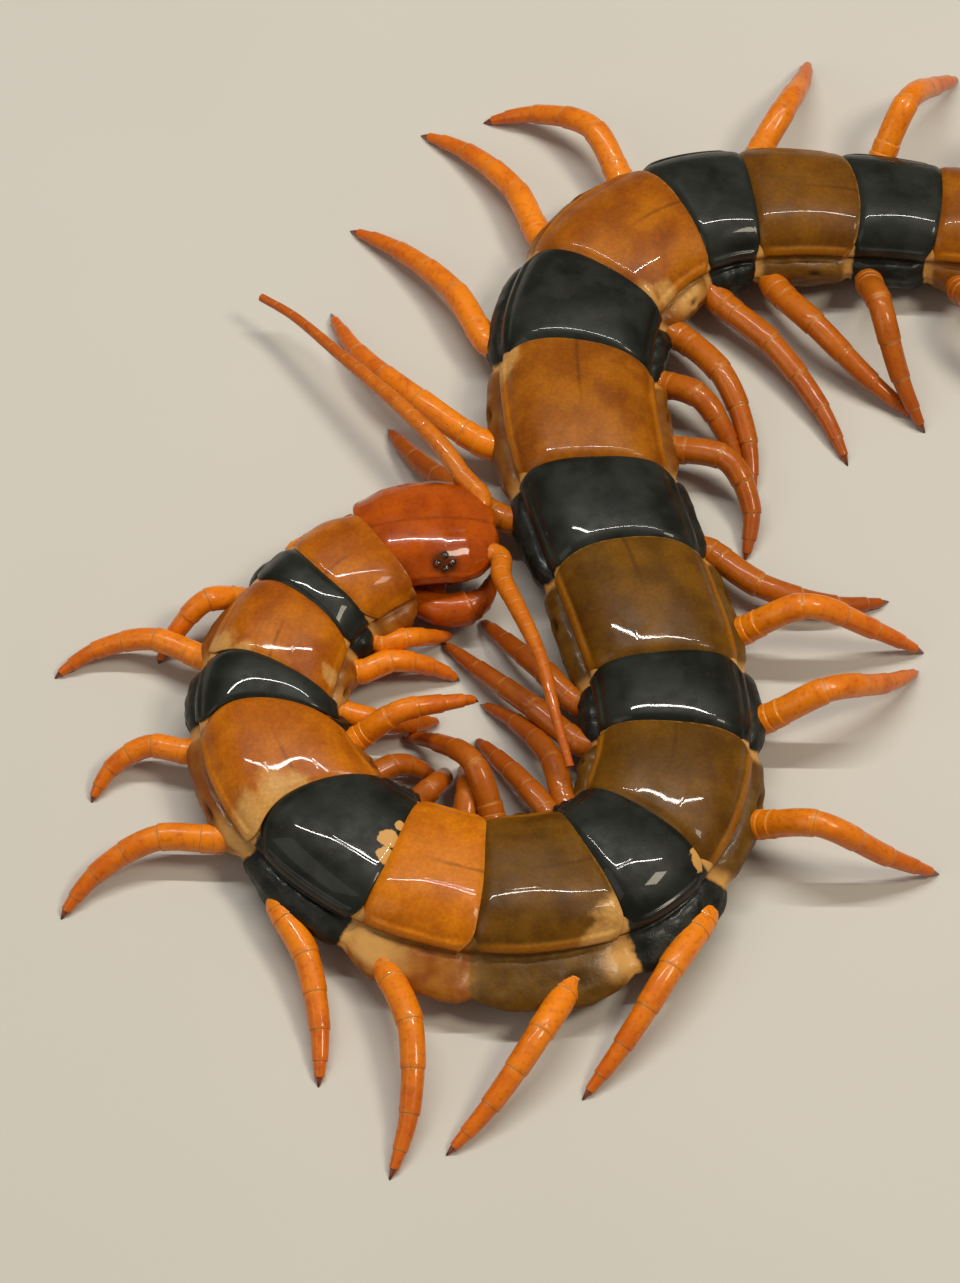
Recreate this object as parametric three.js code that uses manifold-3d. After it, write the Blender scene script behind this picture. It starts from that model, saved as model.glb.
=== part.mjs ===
// A giant tiger centipede at rest, life-size, in millimetres with +Z up.
import * as THREE from 'three';
import { mergeVertices } from 'three/addons/utils/BufferGeometryUtils.js';
import Module from 'manifold-3d';

const wasm = await Module();
wasm.setup();

// Driving dimensions
const GAP = 0.3;
const JOINT_GAP = 0.42;
const BELLY = 0.9;
const BODY_HEIGHT = 8.3;
const PLATE_LIFT = 0.7;
const FLANK_STRETCH = 0.004;
const FLANK_SLACK = { at: 8.3, reach: 1.3, share: 0.36 };
const HEAD_HALF_WIDTH = 5.6;
const LEG_RADIUS = 1.36;
const LEG_SIDES = 7;
const HIP_HEIGHT = 3.3;
const ANTENNA_ARTICLES = 18;
const ANTENNA_RADIUS = 1.15;

// Where the trunk starts, its bearing toward the tail, and the length and turn of each segment
const TRUNK_FRONT = [-9.3, 5.8];
const TRUNK_BEARING = 206.5;
const LENGTHS = [
  6.7, 3.9, 6.8, 4.7, 10, 10.2, 10, 10, 7.4, 10, 8.1, 13.1, 10.1, 14, 9.8, 11, 7.5, 10.8, 8.3, 10.5, 7,
];
const TURNS = [17, 15, 17, 21, 30, 25, 23, 28, 38, 29, 14, 5, -5, -15, -26, -38, -21, -9, -3, -4, -4];

// Width of each back plate
const WIDTHS = [
  12, 12, 12.5, 13.2, 13.8, 14.2, 14.4, 14.6, 14.9, 14.8, 14.6, 14.6, 14.8, 15.2, 15.4, 15.2, 14.2, 13.2, 12.4,
  11.5, 10.4,
];

// Rear margin of the plate before each joint: how far behind the joint in the middle, its skew and its bow
const MARGINS = [
  [0.1, 0.9, -0.3], [0, 0, -0.6], [-0.9, -0.6, 0.9], [0, -1.5, 1.7], [-0.3, -1.2, 2.4], [0.1, -1.3, 2.6],
  [0.8, 0.5, -0.6], [-0.4, 0.3, -0.6], [0, 0.8, -0.5], [-0.1, -0.8, -0.4], [0.2, -0.6, -0.5], [-0.1, -1, -0.5],
  [0.2, -1.3, -1.7], [-0.1, -1.4, -0.8], [0, -1, -1.8], [-0.1, -0.6, -1.3], [0.3, 0.6, -0.8], [0.2, 0.7, -0.4],
  [0.1, 1.2, -1.4], [0.2, 0.3, -0.8], [0.2, 0, -0.8], [0.8, 0, -1.6],
];

// The head's middle line at the neck, and its bearing; the fangs and feelers are placed from FACE
const HEAD_PLACE = { x: -9.7, y: 7.8 };
const HEAD_BEARING = 185.5;
const FACE_PLACE = { x: -9.4, y: 6.3 };
const FACE_BEARING = 190;

// Each walking leg: reach of the foot, degrees ahead of square, sideways bow, length, place along its segment
const STANCE = {
  left: [
    [9.4, 86, 2, 12.5, 0.85], [9.6, -63, 1, 12.4, 1], [14.8, -17, 2.7, 16.9, 0.85],
    [10.2, -8, 2.6, 12.7, 1.25], [16.8, 9, 2.9, 18.9, 0.86], [18.5, -55, -1.5, 19.4, 0.44],
    [21.3, -24, -2.6, 23.1, 0.3], [20.7, 47, -1.3, 22.1, 0.64], [21.8, 83, -0.9, 22.8, 0.74],
    [18.2, -6, 1.5, 23, 0.45], [18, -22, 2, 22.5, 0.35], [18.6, 14, -0.5, 23, 0.25],
    [19, 31, 3.5, 21.2, 0.05], [13.1, 66, -4.1, 17.4, 0.23], [12.1, 53, -1.4, 14.6, -0.2],
    [19.6, 44, -2.5, 21.6, -0.11], [22.6, -12, -1.6, 23.6, 0.05], [20.6, -43, 1.4, 22.1, 0.18],
    [17, -24, 1.5, 22, 0.25], [17, -44, 2, 22, 0.3],
  ],
  right: [
    [7.8, 72, -0.8, 9.8, 0.9], [10, 30, 1, 11.5, 1.6], [9.3, 17, -1.2, 10.8, 1.22],
    [12, -17, 0, 13.8, 2.3], [6.4, -33, 1.2, 8.4, 1.11], [6.2, 6, -1, 8.8, 0.82],
    [8, 17, -0.4, 10, 0.58], [14.8, 42, -1.6, 18.6, 0], [13, 20, 0, 14.1, -0.22],
    [16.1, -26, -1.7, 17.5, -0.11], [19.8, -46, 0.5, 20.7, 0.11], [15.4, -64, 0.5, 16.5, -0.07],
    [18.6, -61, 1.4, 19.6, 0.8], [25.5, -56, 2.7, 27.4, 0.41], [22.7, -43, -1.8, 23.7, 0.2],
    [20.6, -17, -2.2, 21.9, 0.21], [17.9, 24, -3.6, 21.1, -0.2], [17.2, -24, -1, 19.4, 0.12],
    [17.5, -26, 0.5, 22, 0.25], [17, -46, 1.5, 22, 0.3],
  ],
};

// Legs that hold their foot off the floor, and how high
const TIP_RAISED = { '4right': 5 };

// Ground position shift that puts the origin at the middle of the finished model
const ORIGIN = [-21.98, -6.92];

const ORANGE = 0xc4621c;
const BLACK = 0x16171a;
const LEG_ORANGE = 0xd8481c;
const HEAD_RED = 0xc03a16;

const radians = THREE.MathUtils.degToRad;
const lerp = THREE.MathUtils.lerp;
const UP = new THREE.Vector3(0, 0, 1);

// The centreline: position and bearing at a fraction of a segment, counted from 1
const joints = [null, { x: TRUNK_FRONT[0], y: TRUNK_FRONT[1], bearing: TRUNK_BEARING }];
const lengths = [0, ...LENGTHS];
const turns = [0, ...TURNS];
const LAST = LENGTHS.length;
const STEPS = 24;

function walk(joint, length, turn, fraction) {
  let { x, y } = joint;
  for (let k = 0; k < STEPS; k += 1) {
    const f = ((k + 0.5) / STEPS) * fraction;
    const a = radians(joint.bearing + turn * f);
    x += (Math.cos(a) * length * fraction) / STEPS;
    y += (Math.sin(a) * length * fraction) / STEPS;
  }
  return { x, y, bearing: joint.bearing + turn * fraction };
}

for (let i = 1; i <= LAST; i += 1) {
  joints.push(walk(joints[i], lengths[i], turns[i], 1));
}

function axis(segment, fraction) {
  const at = walk(joints[segment], lengths[segment], turns[segment], fraction);
  const a = radians(at.bearing);
  return {
    point: new THREE.Vector3(at.x, at.y, 0),
    rear: new THREE.Vector3(Math.cos(a), Math.sin(a), 0),
    left: new THREE.Vector3(Math.sin(a), -Math.cos(a), 0),
  };
}

// Half the width of the back plate along the trunk
function plateHalf(segment, fraction) {
  const at = Math.min(Math.max(segment + fraction - 1.5, 0), LAST - 1);
  const k = Math.min(Math.floor(at), LAST - 2);
  return lerp(WIDTHS[k], WIDTHS[k + 1], at - k) / 2;
}

// How far behind a joint the plate's margin lies, at a place across it from -1, right, to 1, left
function margin(joint, across) {
  const [middle, skew, bow] = MARGINS[joint - 1];
  return middle + skew * across + bow * across ** 2;
}

// Closed geometry from a lathe whose rings are moved to where a function puts them
function loft(rings, sides, place) {
  const profile = [new THREE.Vector2(0, 0)];
  for (let i = 0; i < rings; i += 1) {
    profile.push(new THREE.Vector2(1, i));
  }
  profile.push(new THREE.Vector2(0, rings - 1));
  const lathe = new THREE.LatheGeometry(profile, sides);
  const position = lathe.getAttribute('position');
  for (let v = 0; v < position.count; v += 1) {
    const x = position.getX(v);
    const z = position.getZ(v);
    const ring = Math.round(position.getY(v));
    const side = Math.round((Math.atan2(x, z) / (2 * Math.PI)) * sides + sides) % sides;
    const to = place(ring, Math.hypot(x, z) < 0.5 ? -1 : side);
    position.setXYZ(v, to.x, to.y, to.z);
  }
  return solid(lathe);
}

// A manifold solid of a closed geometry, with shared vertices and outward faces
function solid(geometry) {
  const bare = geometry.index ? geometry.toNonIndexed() : geometry;
  bare.deleteAttribute('normal');
  bare.deleteAttribute('uv');
  const merged = mergeVertices(bare, 1e-4);
  const index = merged.index.array;
  const position = merged.getAttribute('position');
  const triangles = [];
  let volume = 0;
  const a = new THREE.Vector3();
  const b = new THREE.Vector3();
  const c = new THREE.Vector3();
  for (let t = 0; t < index.length; t += 3) {
    const [i, j, k] = [index[t], index[t + 1], index[t + 2]];
    if (i !== j && j !== k && k !== i) {
      triangles.push([i, j, k]);
      a.fromBufferAttribute(position, i);
      b.fromBufferAttribute(position, j);
      c.fromBufferAttribute(position, k);
      volume += a.dot(b.cross(c));
    }
  }
  const wound = volume > 0 ? triangles : triangles.map(([i, j, k]) => [i, k, j]);
  const mesh = new wasm.Mesh({
    numProp: 3,
    vertProperties: new Float32Array(position.array),
    triVerts: new Uint32Array(wound.flat()),
  });
  return new wasm.Manifold(mesh);
}

// The largest closed surface of a solid
function largest(body) {
  const pieces = body.decompose();
  return pieces.reduce((best, piece) => (piece.volume() > best.volume() ? piece : best), pieces[0]);
}

// Cross-section of the trunk from the middle of the back to the middle of the belly: across, up
const SECTION = [
  [0, 1], [0.5, 0.975], [0.84, 0.87], [1, 0.7], [0.965, 0.62],
  [1.16, 0.42], [1.08, 0.2], [0.76, 0.05], [0.4, 0], [0, 0],
];
const BACK_POINTS = 4;
const TRUNK_SIDES = 2 * (SECTION.length - 1);

// One ring of the trunk at a distance along a segment, with its plate lifted or sunk
function trunkPoint({ segment, along, lift, close = 1 }, side, grow) {
  const fraction = along / lengths[segment];
  const { point, rear, left } = axis(segment, fraction);
  const middle = BELLY + BODY_HEIGHT / 2;
  if (side < 0) {
    return point.clone().addScaledVector(UP, middle);
  }
  const half = SECTION.length - 1;
  const k = side <= half ? side : TRUNK_SIDES - side;
  const mirror = side <= half ? 1 : -1;
  const [across, up] = SECTION[k];
  const width = plateHalf(segment, fraction) * close;
  const isBack = k < BACK_POINTS;
  const isFlank = k > BACK_POINTS && k < BACK_POINTS + 3;
  const hollow = (segment + fraction - FLANK_SLACK.at) / FLANK_SLACK.reach;
  const slack = mirror > 0 ? FLANK_SLACK.share * Math.exp(-(hollow ** 2)) * (k === BACK_POINTS + 1 ? 0.6 : 1) : 0;
  const stretched = isFlank ? 1 + slack + FLANK_STRETCH * Math.max(0, mirror * turns[segment]) : 1;
  const sunk = isBack ? (1 - lift) * PLATE_LIFT : 0;
  const out = across * stretched * width - (isBack ? sunk * across : 0);
  const high = middle + (BELLY + up * BODY_HEIGHT - sunk - middle) * close;
  const before = SECTION[Math.max(k - 1, 0)];
  const after = SECTION[Math.min(k + 1, half)];
  const normal = new THREE.Vector2(
    (before[1] - after[1]) * BODY_HEIGHT,
    (after[0] - before[0]) * width,
  ).normalize();
  const nx = k === 0 || k === half ? 0 : normal.x;
  const ny = k === 0 ? 1 : k === half ? -1 : normal.y;
  const shift = lerp(
    margin(segment, mirror * across),
    margin(segment + 1, mirror * across),
    THREE.MathUtils.clamp(fraction, 0, 1),
  );
  return point.clone()
    .addScaledVector(rear, shift * close * THREE.MathUtils.clamp(1 - 0.2 * (k - BACK_POINTS + 1), 0, 1))
    .addScaledVector(left, mirror * (out + grow * nx))
    .addScaledVector(UP, high + grow * ny);
}

// The rings of one segment: its front groove, raised plate and rear margin
function segmentRings(segment, isFirst, isLast, grow) {
  const length = lengths[segment];
  const rings = [
    { segment, along: isFirst ? -0.7 - 1.6 * grow : 0.1, lift: 0 },
    { segment, along: 1.0, lift: 0.75 },
    { segment, along: length * 0.55, lift: 0.95 },
  ];
  if (segment === LAST) {
    rings.push({ segment, along: length * 0.9, lift: 1, close: 0.9 });
    rings.push({ segment, along: length * 1.15 + grow, lift: 1, close: 0.62 });
  } else {
    rings.push({ segment, along: isLast ? length - GAP / 2 + 1.6 * grow : length - 0.4, lift: 1 });
  }
  return rings;
}

function trunkLength(first, last, grow = 0) {
  const rings = [];
  for (let segment = first; segment <= last; segment += 1) {
    rings.push(...segmentRings(segment, segment === first, segment === last, grow));
  }
  return loft(rings.length, TRUNK_SIDES, (ring, side) => trunkPoint(rings[ring], side, grow));
}

// A place in a frame at a joint: forward of it, to its left, and up
function framed(origin, bearing) {
  const a = radians(bearing);
  const forward = new THREE.Vector3(-Math.cos(a), -Math.sin(a), 0);
  const left = new THREE.Vector3(Math.sin(a), -Math.cos(a), 0);
  return (ahead, across, up) => new THREE.Vector3(origin.x, origin.y, 0)
    .addScaledVector(forward, ahead)
    .addScaledVector(left, across)
    .addScaledVector(UP, up);
}

const inHead = framed(HEAD_PLACE, HEAD_BEARING);
const inFace = framed(FACE_PLACE, FACE_BEARING);
const inTail = framed(joints[LAST + 1], joints[LAST + 1].bearing);

// Head capsule: distance forward, half-width, top and bottom of each ring
const HEAD_RINGS = [
  [-1.1, 0.8, 8.5, 4.7], [0.6, 0.94, 9, 4.6], [3.2, 1, 9.3, 4.4], [6, 1, 9.2, 4.4], [8.4, 0.94, 8.7, 4.5],
  [10, 0.8, 8, 4.7], [11, 0.6, 7.3, 5], [11.6, 0.34, 6.6, 5.4],
];
const HEAD_SIDES = 16;

function headPoint(ring, angle, grow = 0) {
  const [ahead, wide, top, bottom] = HEAD_RINGS[ring];
  const last = HEAD_RINGS.length - 1;
  const forward = ahead - (ring === 0 ? grow : 0) + (ring === last ? grow : 0);
  const edge = bottom + 0.45 * (top - bottom);
  if (angle === null) {
    return inHead(forward, 0, edge);
  }
  const c = Math.cos(angle);
  const s = Math.sin(angle);
  const across = Math.sign(c) * Math.abs(c) ** 0.75 * (HEAD_HALF_WIDTH * wide + grow);
  const rise = s > 0 ? (top + grow - edge) * s ** 0.85 : (edge - bottom + grow) * -((-s) ** 0.6);
  return inHead(forward, across, edge + rise);
}

function headCapsule(grow = 0) {
  return loft(HEAD_RINGS.length, HEAD_SIDES, (ring, side) => (
    headPoint(ring, side < 0 ? null : (side / HEAD_SIDES) * 2 * Math.PI, grow)
  ));
}

// A smooth egg, a bead or a lens, stretched along the axes of a frame
function bead(place, [ahead, across, up], [length, width, height], around = 8, rows = 6) {
  const ball = new THREE.SphereGeometry(1, around, rows);
  const position = ball.getAttribute('position');
  for (let v = 0; v < position.count; v += 1) {
    const at = place(
      ahead + position.getX(v) * length,
      across + position.getZ(v) * width,
      up + position.getY(v) * height,
    );
    position.setXYZ(v, at.x, at.y, at.z);
  }
  return solid(ball);
}

// A pointed tooth or spine from a root to a tip
function spine(root, tip, radius, sides = 5) {
  const cone = new THREE.ConeGeometry(radius, root.distanceTo(tip), sides);
  const turn = new THREE.Quaternion().setFromUnitVectors(UP, tip.clone().sub(root).normalize());
  cone.rotateX(Math.PI / 2);
  cone.applyQuaternion(turn);
  cone.translate((root.x + tip.x) / 2, (root.y + tip.y) / 2, (root.z + tip.z) / 2);
  return solid(cone);
}

// The fang bearer: a broad plate under the head with two rows of teeth along its front
const FANG_BEARER = [[-2, 4.4], [0.6, 4.8], [2.6, 5], [4.6, 4.5], [6, 3.2]];
const BEARER_TOP = 4.0;
const BEARER_BOTTOM = 1.1;

function fangBearer(grow = 0) {
  const middle = (BEARER_TOP + BEARER_BOTTOM) / 2;
  const last = FANG_BEARER.length - 1;
  return loft(FANG_BEARER.length, 12, (ring, side) => {
    const [ahead, half] = FANG_BEARER[ring];
    const forward = ahead + (ring === last ? grow : 0);
    if (side < 0) {
      return inFace(forward, 0, middle);
    }
    const a = (side / 12) * 2 * Math.PI;
    const across = Math.sign(Math.cos(a)) * Math.abs(Math.cos(a)) ** 0.5 * (half + grow);
    const rise = Math.sign(Math.sin(a)) * Math.abs(Math.sin(a)) ** 0.5
      * ((BEARER_TOP - BEARER_BOTTOM) / 2 + grow);
    return inFace(forward, across, middle + rise);
  });
}

function teeth() {
  const row = [];
  for (const mirror of [1, -1]) {
    for (let k = 0; k < 4; k += 1) {
      const across = mirror * (0.5 + 0.62 * k);
      row.push(spine(inFace(5.2, across, 2.6), inFace(6.9 - 0.22 * k, across, 2.7), 0.3, 4));
    }
  }
  return row;
}

// A round limb: rings set square to a curve, with radii given along it
function limb(curve, stations, sides, flat = null) {
  return loft(stations.length, sides, (ring, side) => {
    const { at, radius, squash = 1 } = stations[ring];
    const centre = curve.getPointAt(at);
    if (flat && ring === stations.length - 1) {
      centre.z = 0;
    }
    if (side < 0) {
      return centre;
    }
    const tangent = curve.getTangentAt(at);
    const across = new THREE.Vector3().crossVectors(tangent, UP).normalize();
    const over = flat && ring === stations.length - 1
      ? new THREE.Vector3().crossVectors(UP, across)
      : new THREE.Vector3().crossVectors(across, tangent);
    const a = (side / sides) * 2 * Math.PI;
    return centre
      .addScaledVector(across, Math.cos(a) * radius)
      .addScaledVector(over, Math.sin(a) * radius * squash);
  });
}

// Walking legs: radius at stations from the hip to the claw, swelling at each article
const LEG_STATIONS = [
  { at: 0, radius: 1 },
  { at: 0.17, radius: 0.92 },
  { at: 0.21, radius: 1 },
  { at: 0.36, radius: 0.97 },
  { at: 0.42, radius: 0.78 },
  { at: 0.46, radius: 0.86 },
  { at: 0.6, radius: 0.68 },
  { at: 0.65, radius: 0.74 },
  { at: 0.77, radius: 0.58 },
  { at: 0.8, radius: 0.6 },
  { at: 0.93, radius: 0.38 },
  { at: 1, radius: 0.24 },
];

function legCurve(n, side) {
  const [reach, ahead, bow, length, place] = STANCE[side][n - 1];
  const raised = TIP_RAISED[`${n}${side}`] || 0;
  const { point, rear, left } = axis(n, place);
  const out = left.clone().multiplyScalar(side === 'left' ? 1 : -1);
  const half = plateHalf(n, place);
  const hip = point.clone().addScaledVector(out, half * 0.84).addScaledVector(UP, HIP_HEIGHT + 0.3);
  const a = radians(ahead);
  const toward = out.clone().multiplyScalar(Math.cos(a)).addScaledVector(rear, -Math.sin(a));
  const beside = rear.clone().multiplyScalar(-Math.cos(a)).addScaledVector(out, -Math.sin(a));
  const start = point.clone().addScaledVector(out, half * 1.1);
  const arched = (arch) => {
    const at = (t, z) => start.clone()
      .addScaledVector(toward, reach * t)
      .addScaledVector(beside, 4 * bow * t * (1 - t))
      .setZ(z);
    return new THREE.CatmullRomCurve3([
      hip,
      at(0.03, HIP_HEIGHT + 0.15 * arch + 0.1 * raised),
      at(0.36, 2.2 + arch + 0.5 * raised),
      at(0.72, 1.3 + 0.45 * arch + 0.8 * raised),
      at(0.94, 0.45 + 0.08 * arch + raised),
      at(1, raised),
    ], false, 'centripetal');
  };
  let low = 0.8;
  let high = 8;
  for (let k = 0; k < 12; k += 1) {
    const mid = (low + high) / 2;
    if (arched(mid).getLength() < length + half * 0.2) {
      low = mid;
    } else {
      high = mid;
    }
  }
  return arched(low);
}

function walkingLeg(n, side, grow = 0) {
  const size = LEG_RADIUS * (n === 1 ? 0.78 : n < 5 || (side === 'right' && n < 13) ? 0.9 : 1);
  const stations = LEG_STATIONS.map(({ at, radius }) => ({ at, radius: radius * size + grow }));
  return limb(legCurve(n, side), stations, LEG_SIDES, !TIP_RAISED[`${n}${side}`]);
}

// The last pair of legs: stout, trailing behind the tail, with spines on the inner side of the thigh
const TRAILING_PATH = [
  [2.2, 3, 4.4], [-0.6, 4, 4.5], [-5.5, 6, 4.9], [-10.5, 7.8, 4.2], [-15, 8.8, 2.6], [-18.6, 9.2, 1.1], [-20.4, 9.2, 0],
];
const TRAILING_STATIONS = [
  { at: 0, radius: 1.5 }, { at: 0.14, radius: 1.7 }, { at: 0.33, radius: 1.85 }, { at: 0.37, radius: 1.5 },
  { at: 0.42, radius: 1.7 }, { at: 0.56, radius: 1.55 }, { at: 0.6, radius: 1.2 }, { at: 0.64, radius: 1.38 },
  { at: 0.76, radius: 1.15 }, { at: 0.8, radius: 0.9 }, { at: 0.92, radius: 0.65 }, { at: 1, radius: 0.32 },
];

function trailingLeg(side) {
  const mirror = side === 'left' ? 1 : -1;
  const spread = side === 'left' ? 1 : 0.86;
  const points = TRAILING_PATH.map(([ahead, across, up]) => inTail(ahead, mirror * across * spread, up));
  let leg = limb(new THREE.CatmullRomCurve3(points), TRAILING_STATIONS, 8, true);
  for (let k = 0; k < 5; k += 1) {
    const ahead = -1.6 - 1.05 * k;
    const across = (4.3 + 0.37 * (k + 0.6)) * spread;
    const up = 4.9 - 0.35 * (k % 2) * 2;
    leg = leg.add(spine(
      inTail(ahead, mirror * (across - 0.9), up),
      inTail(ahead - 0.8, mirror * (across - 2.3), up + 0.25),
      0.34,
      4,
    ));
  }
  return leg;
}

// Fangs: stout curved limbs that start on the fang bearer and close in front of the mouth
const FANG_PATH = [[2.6, 3.6, 2.7], [4.2, 5.1, 2.8], [6.6, 5.7, 2.9], [8.8, 4.9, 2.8], [10, 3.2, 2.6], [10.5, 1.5, 2.4]];
const FANG_STATIONS = [
  { at: 0, radius: 1.35 }, { at: 0.2, radius: 1.75 }, { at: 0.42, radius: 1.8 }, { at: 0.55, radius: 1.4 },
  { at: 0.6, radius: 1.4 }, { at: 0.74, radius: 0.95 }, { at: 0.88, radius: 0.55 }, { at: 1, radius: 0.12 },
];

function fang(side, grow = 0) {
  const mirror = side === 'left' ? 1 : -1;
  const spread = side === 'left' ? 0.8 : 1;
  const points = FANG_PATH.map(([ahead, across, up]) => inFace(ahead, mirror * across * spread, up));
  const stations = FANG_STATIONS.map(({ at, radius }) => ({ at, radius: radius + grow }));
  return limb(new THREE.CatmullRomCurve3(points), stations, 9);
}

// Feelers: many short articles, thinning to the tip
const FEELER_PATHS = {
  left: [
    [8.6, 2, 6.3], [10.4, 3.8, 6.7], [8.9, 6.6, 7.6], [7.5, 10, 8], [4.2, 16, 7.6], [-0.2, 23.6, 6.2],
    [-4.2, 30.2, 5.1], [-6.9, 33.3, 4.6],
  ],
  right: [
    [9.4, -1.6, 6.2], [11, -2.7, 6.5], [10.7, -5.4, 7.3], [11.5, -9.8, 8.1], [12.6, -16, 8.5],
    [12.9, -22.5, 8], [13.3, -27.3, 7],
  ],
};

function feeler(side) {
  const points = FEELER_PATHS[side].map(([ahead, across, up]) => inFace(ahead, across, up));
  const stations = [];
  for (let k = 0; k < ANTENNA_ARTICLES; k += 1) {
    const taper = lerp(1, 0.36, (k / ANTENNA_ARTICLES) ** 0.85) * ANTENNA_RADIUS;
    stations.push({ at: (k + 0.06) / ANTENNA_ARTICLES, radius: taper * 0.84 });
    stations.push({ at: (k + 0.7) / ANTENNA_ARTICLES, radius: taper });
  }
  stations[0].at = 0;
  stations.push({ at: 1, radius: 0.2 });
  return limb(new THREE.CatmullRomCurve3(points), stations, 6);
}

// Eyes: four small black beads on a low mount near the front corner of the head
const EYE_PLACE = { left: [5.9, 5.3, 6.2], right: [5.9, 4.5, 7.9] };
const EYE_BEADS = [[0.75, 0.1], [-0.75, 0.05], [0.05, 0.6], [0, -0.55]];

function eyeMount(side, grow = 0) {
  const mirror = side === 'left' ? 1 : -1;
  const [ahead, across, up] = EYE_PLACE[side];
  const size = [1.45 + grow, 1 + grow, 0.75 + grow];
  return bead(inHead, [ahead, mirror * across, up], size, 10, 6);
}

function eyes(side, grow = 0) {
  const mirror = side === 'left' ? 1 : -1;
  const [ahead, across, up] = EYE_PLACE[side];
  let cluster = eyeMount(side, grow);
  for (const [along, outward] of EYE_BEADS) {
    const at = [ahead + along, mirror * (across + outward), up + 0.64 - 0.28 * outward];
    cluster = cluster.add(bead(inHead, at, [0.4 + grow, 0.4 + grow, 0.4 + grow], 7, 5));
  }
  return cluster;
}

// Materials
function finish(color, roughness) {
  return new THREE.MeshStandardMaterial({ color, roughness, metalness: 0 });
}

const group = new THREE.Group();

function add(name, body, color, roughness = 0.3) {
  const { vertProperties, triVerts } = body.getMesh();
  const geometry = new THREE.BufferGeometry();
  geometry.setAttribute('position', new THREE.BufferAttribute(new Float32Array(vertProperties), 3));
  geometry.setIndex(new THREE.BufferAttribute(new Uint32Array(triVerts), 1));
  const mesh = new THREE.Mesh(geometry, finish(color, roughness));
  mesh.name = name;
  mesh.position.set(ORIGIN[0], ORIGIN[1], 0);
  group.add(mesh);
}

const pad = (n) => String(n).padStart(2, '0');
const sides = ['left', 'right'];
const fuse = (body, pieces) => largest(pieces.reduce((whole, piece) => whole.add(piece), body));

// The body, and copies of it grown by the gap, which cut their neighbours clear
const telson = (grow = 0) => bead(inTail, [-0.2, 0, 4.4], [2.2 + grow, 2 + grow, 2.1 + grow], 10, 8);
const headClear = headCapsule(GAP);
const bearerClear = fangBearer(GAP);
let trunkClear = telson(GAP);

for (let n = 1; n <= LAST; n += n === 1 ? 1 : 2) {
  const last = n === 1 ? 1 : n + 1;
  trunkClear = trunkClear.add(trunkLength(n, last, GAP));
  let length = trunkLength(n, last);
  if (n === 1) {
    length = fuse(length, [fangBearer(), ...teeth()]);
  } else {
    length = largest(length.subtract(trunkLength(Math.max(n - 2, 1), n - 1, JOINT_GAP)));
  }
  if (last === LAST) {
    const processes = [1, -1].map((mirror) => (
      spine(inTail(1.6, mirror * 3.4, 2.2), inTail(-1.7, mirror * 3, 2.6), 1, 6)
    ));
    length = fuse(length, [telson(), ...processes]);
  }
  add(n === 1 ? 'trunk_01' : `trunk_${pad(n)}_${pad(last)}`, length, ORANGE);
}

let head = headCapsule().subtract(bearerClear).subtract(trunkClear);
for (const side of sides) {
  head = head.subtract(eyes(side, GAP));
}
add('head', largest(head), HEAD_RED, 0.2);
for (const side of sides) {
  add(`ocelli_${side}`, largest(eyes(side)), BLACK, 0.12);
  add(`antenna_${side}`, largest(feeler(side).subtract(headClear)), LEG_ORANGE);
  const cutFang = fang(side).subtract(headClear).subtract(bearerClear).subtract(trunkClear);
  add(`forcipule_${side}`, largest(cutFang), HEAD_RED);
}
let crowd = fang('left', GAP).add(fang('right', GAP));
for (const side of sides) {
  for (let n = 1; n < LAST; n += 1) {
    add(`leg_${pad(n)}_${side}`, largest(walkingLeg(n, side).subtract(trunkClear).subtract(crowd)), LEG_ORANGE);
    crowd = crowd.add(walkingLeg(n, side, GAP));
  }
  add(`leg_${LAST}_${side}`, largest(trailingLeg(side).subtract(trunkClear)), LEG_ORANGE);
}

export default group;
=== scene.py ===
"""A giant tiger centipede at rest: its plates, skin, legs, head, feelers and fangs, and a plain studio."""
import math
import random

import bmesh
import bpy
from bpy.props import FloatProperty, FloatVectorProperty, IntProperty, PointerProperty
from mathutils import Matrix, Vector, noise


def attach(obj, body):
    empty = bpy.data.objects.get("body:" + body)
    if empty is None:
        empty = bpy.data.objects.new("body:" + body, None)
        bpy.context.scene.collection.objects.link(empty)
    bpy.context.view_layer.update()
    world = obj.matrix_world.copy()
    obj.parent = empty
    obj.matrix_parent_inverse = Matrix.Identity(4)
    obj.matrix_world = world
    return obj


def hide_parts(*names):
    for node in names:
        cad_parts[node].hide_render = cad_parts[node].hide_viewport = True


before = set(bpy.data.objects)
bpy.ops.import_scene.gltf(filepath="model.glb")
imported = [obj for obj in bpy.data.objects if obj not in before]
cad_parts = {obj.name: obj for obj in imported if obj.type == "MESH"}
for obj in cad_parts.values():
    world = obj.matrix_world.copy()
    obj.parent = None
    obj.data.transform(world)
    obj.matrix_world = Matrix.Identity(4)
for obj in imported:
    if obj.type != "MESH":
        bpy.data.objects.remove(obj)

bl_info = {
    "name": "Tiger Centipede",
    "version": (1, 0, 0),
    "blender": (4, 5, 0),
    "location": "3D View > Sidebar > Centipede",
    "description": "Builds the plates, skin, legs, head and feelers of a giant tiger centipede",
    "category": "Add Mesh",
}

# Measures are millimetres, and a finished piece is scaled to metres once
MM = 0.001
UP = Vector((0, 0, 1))

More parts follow.
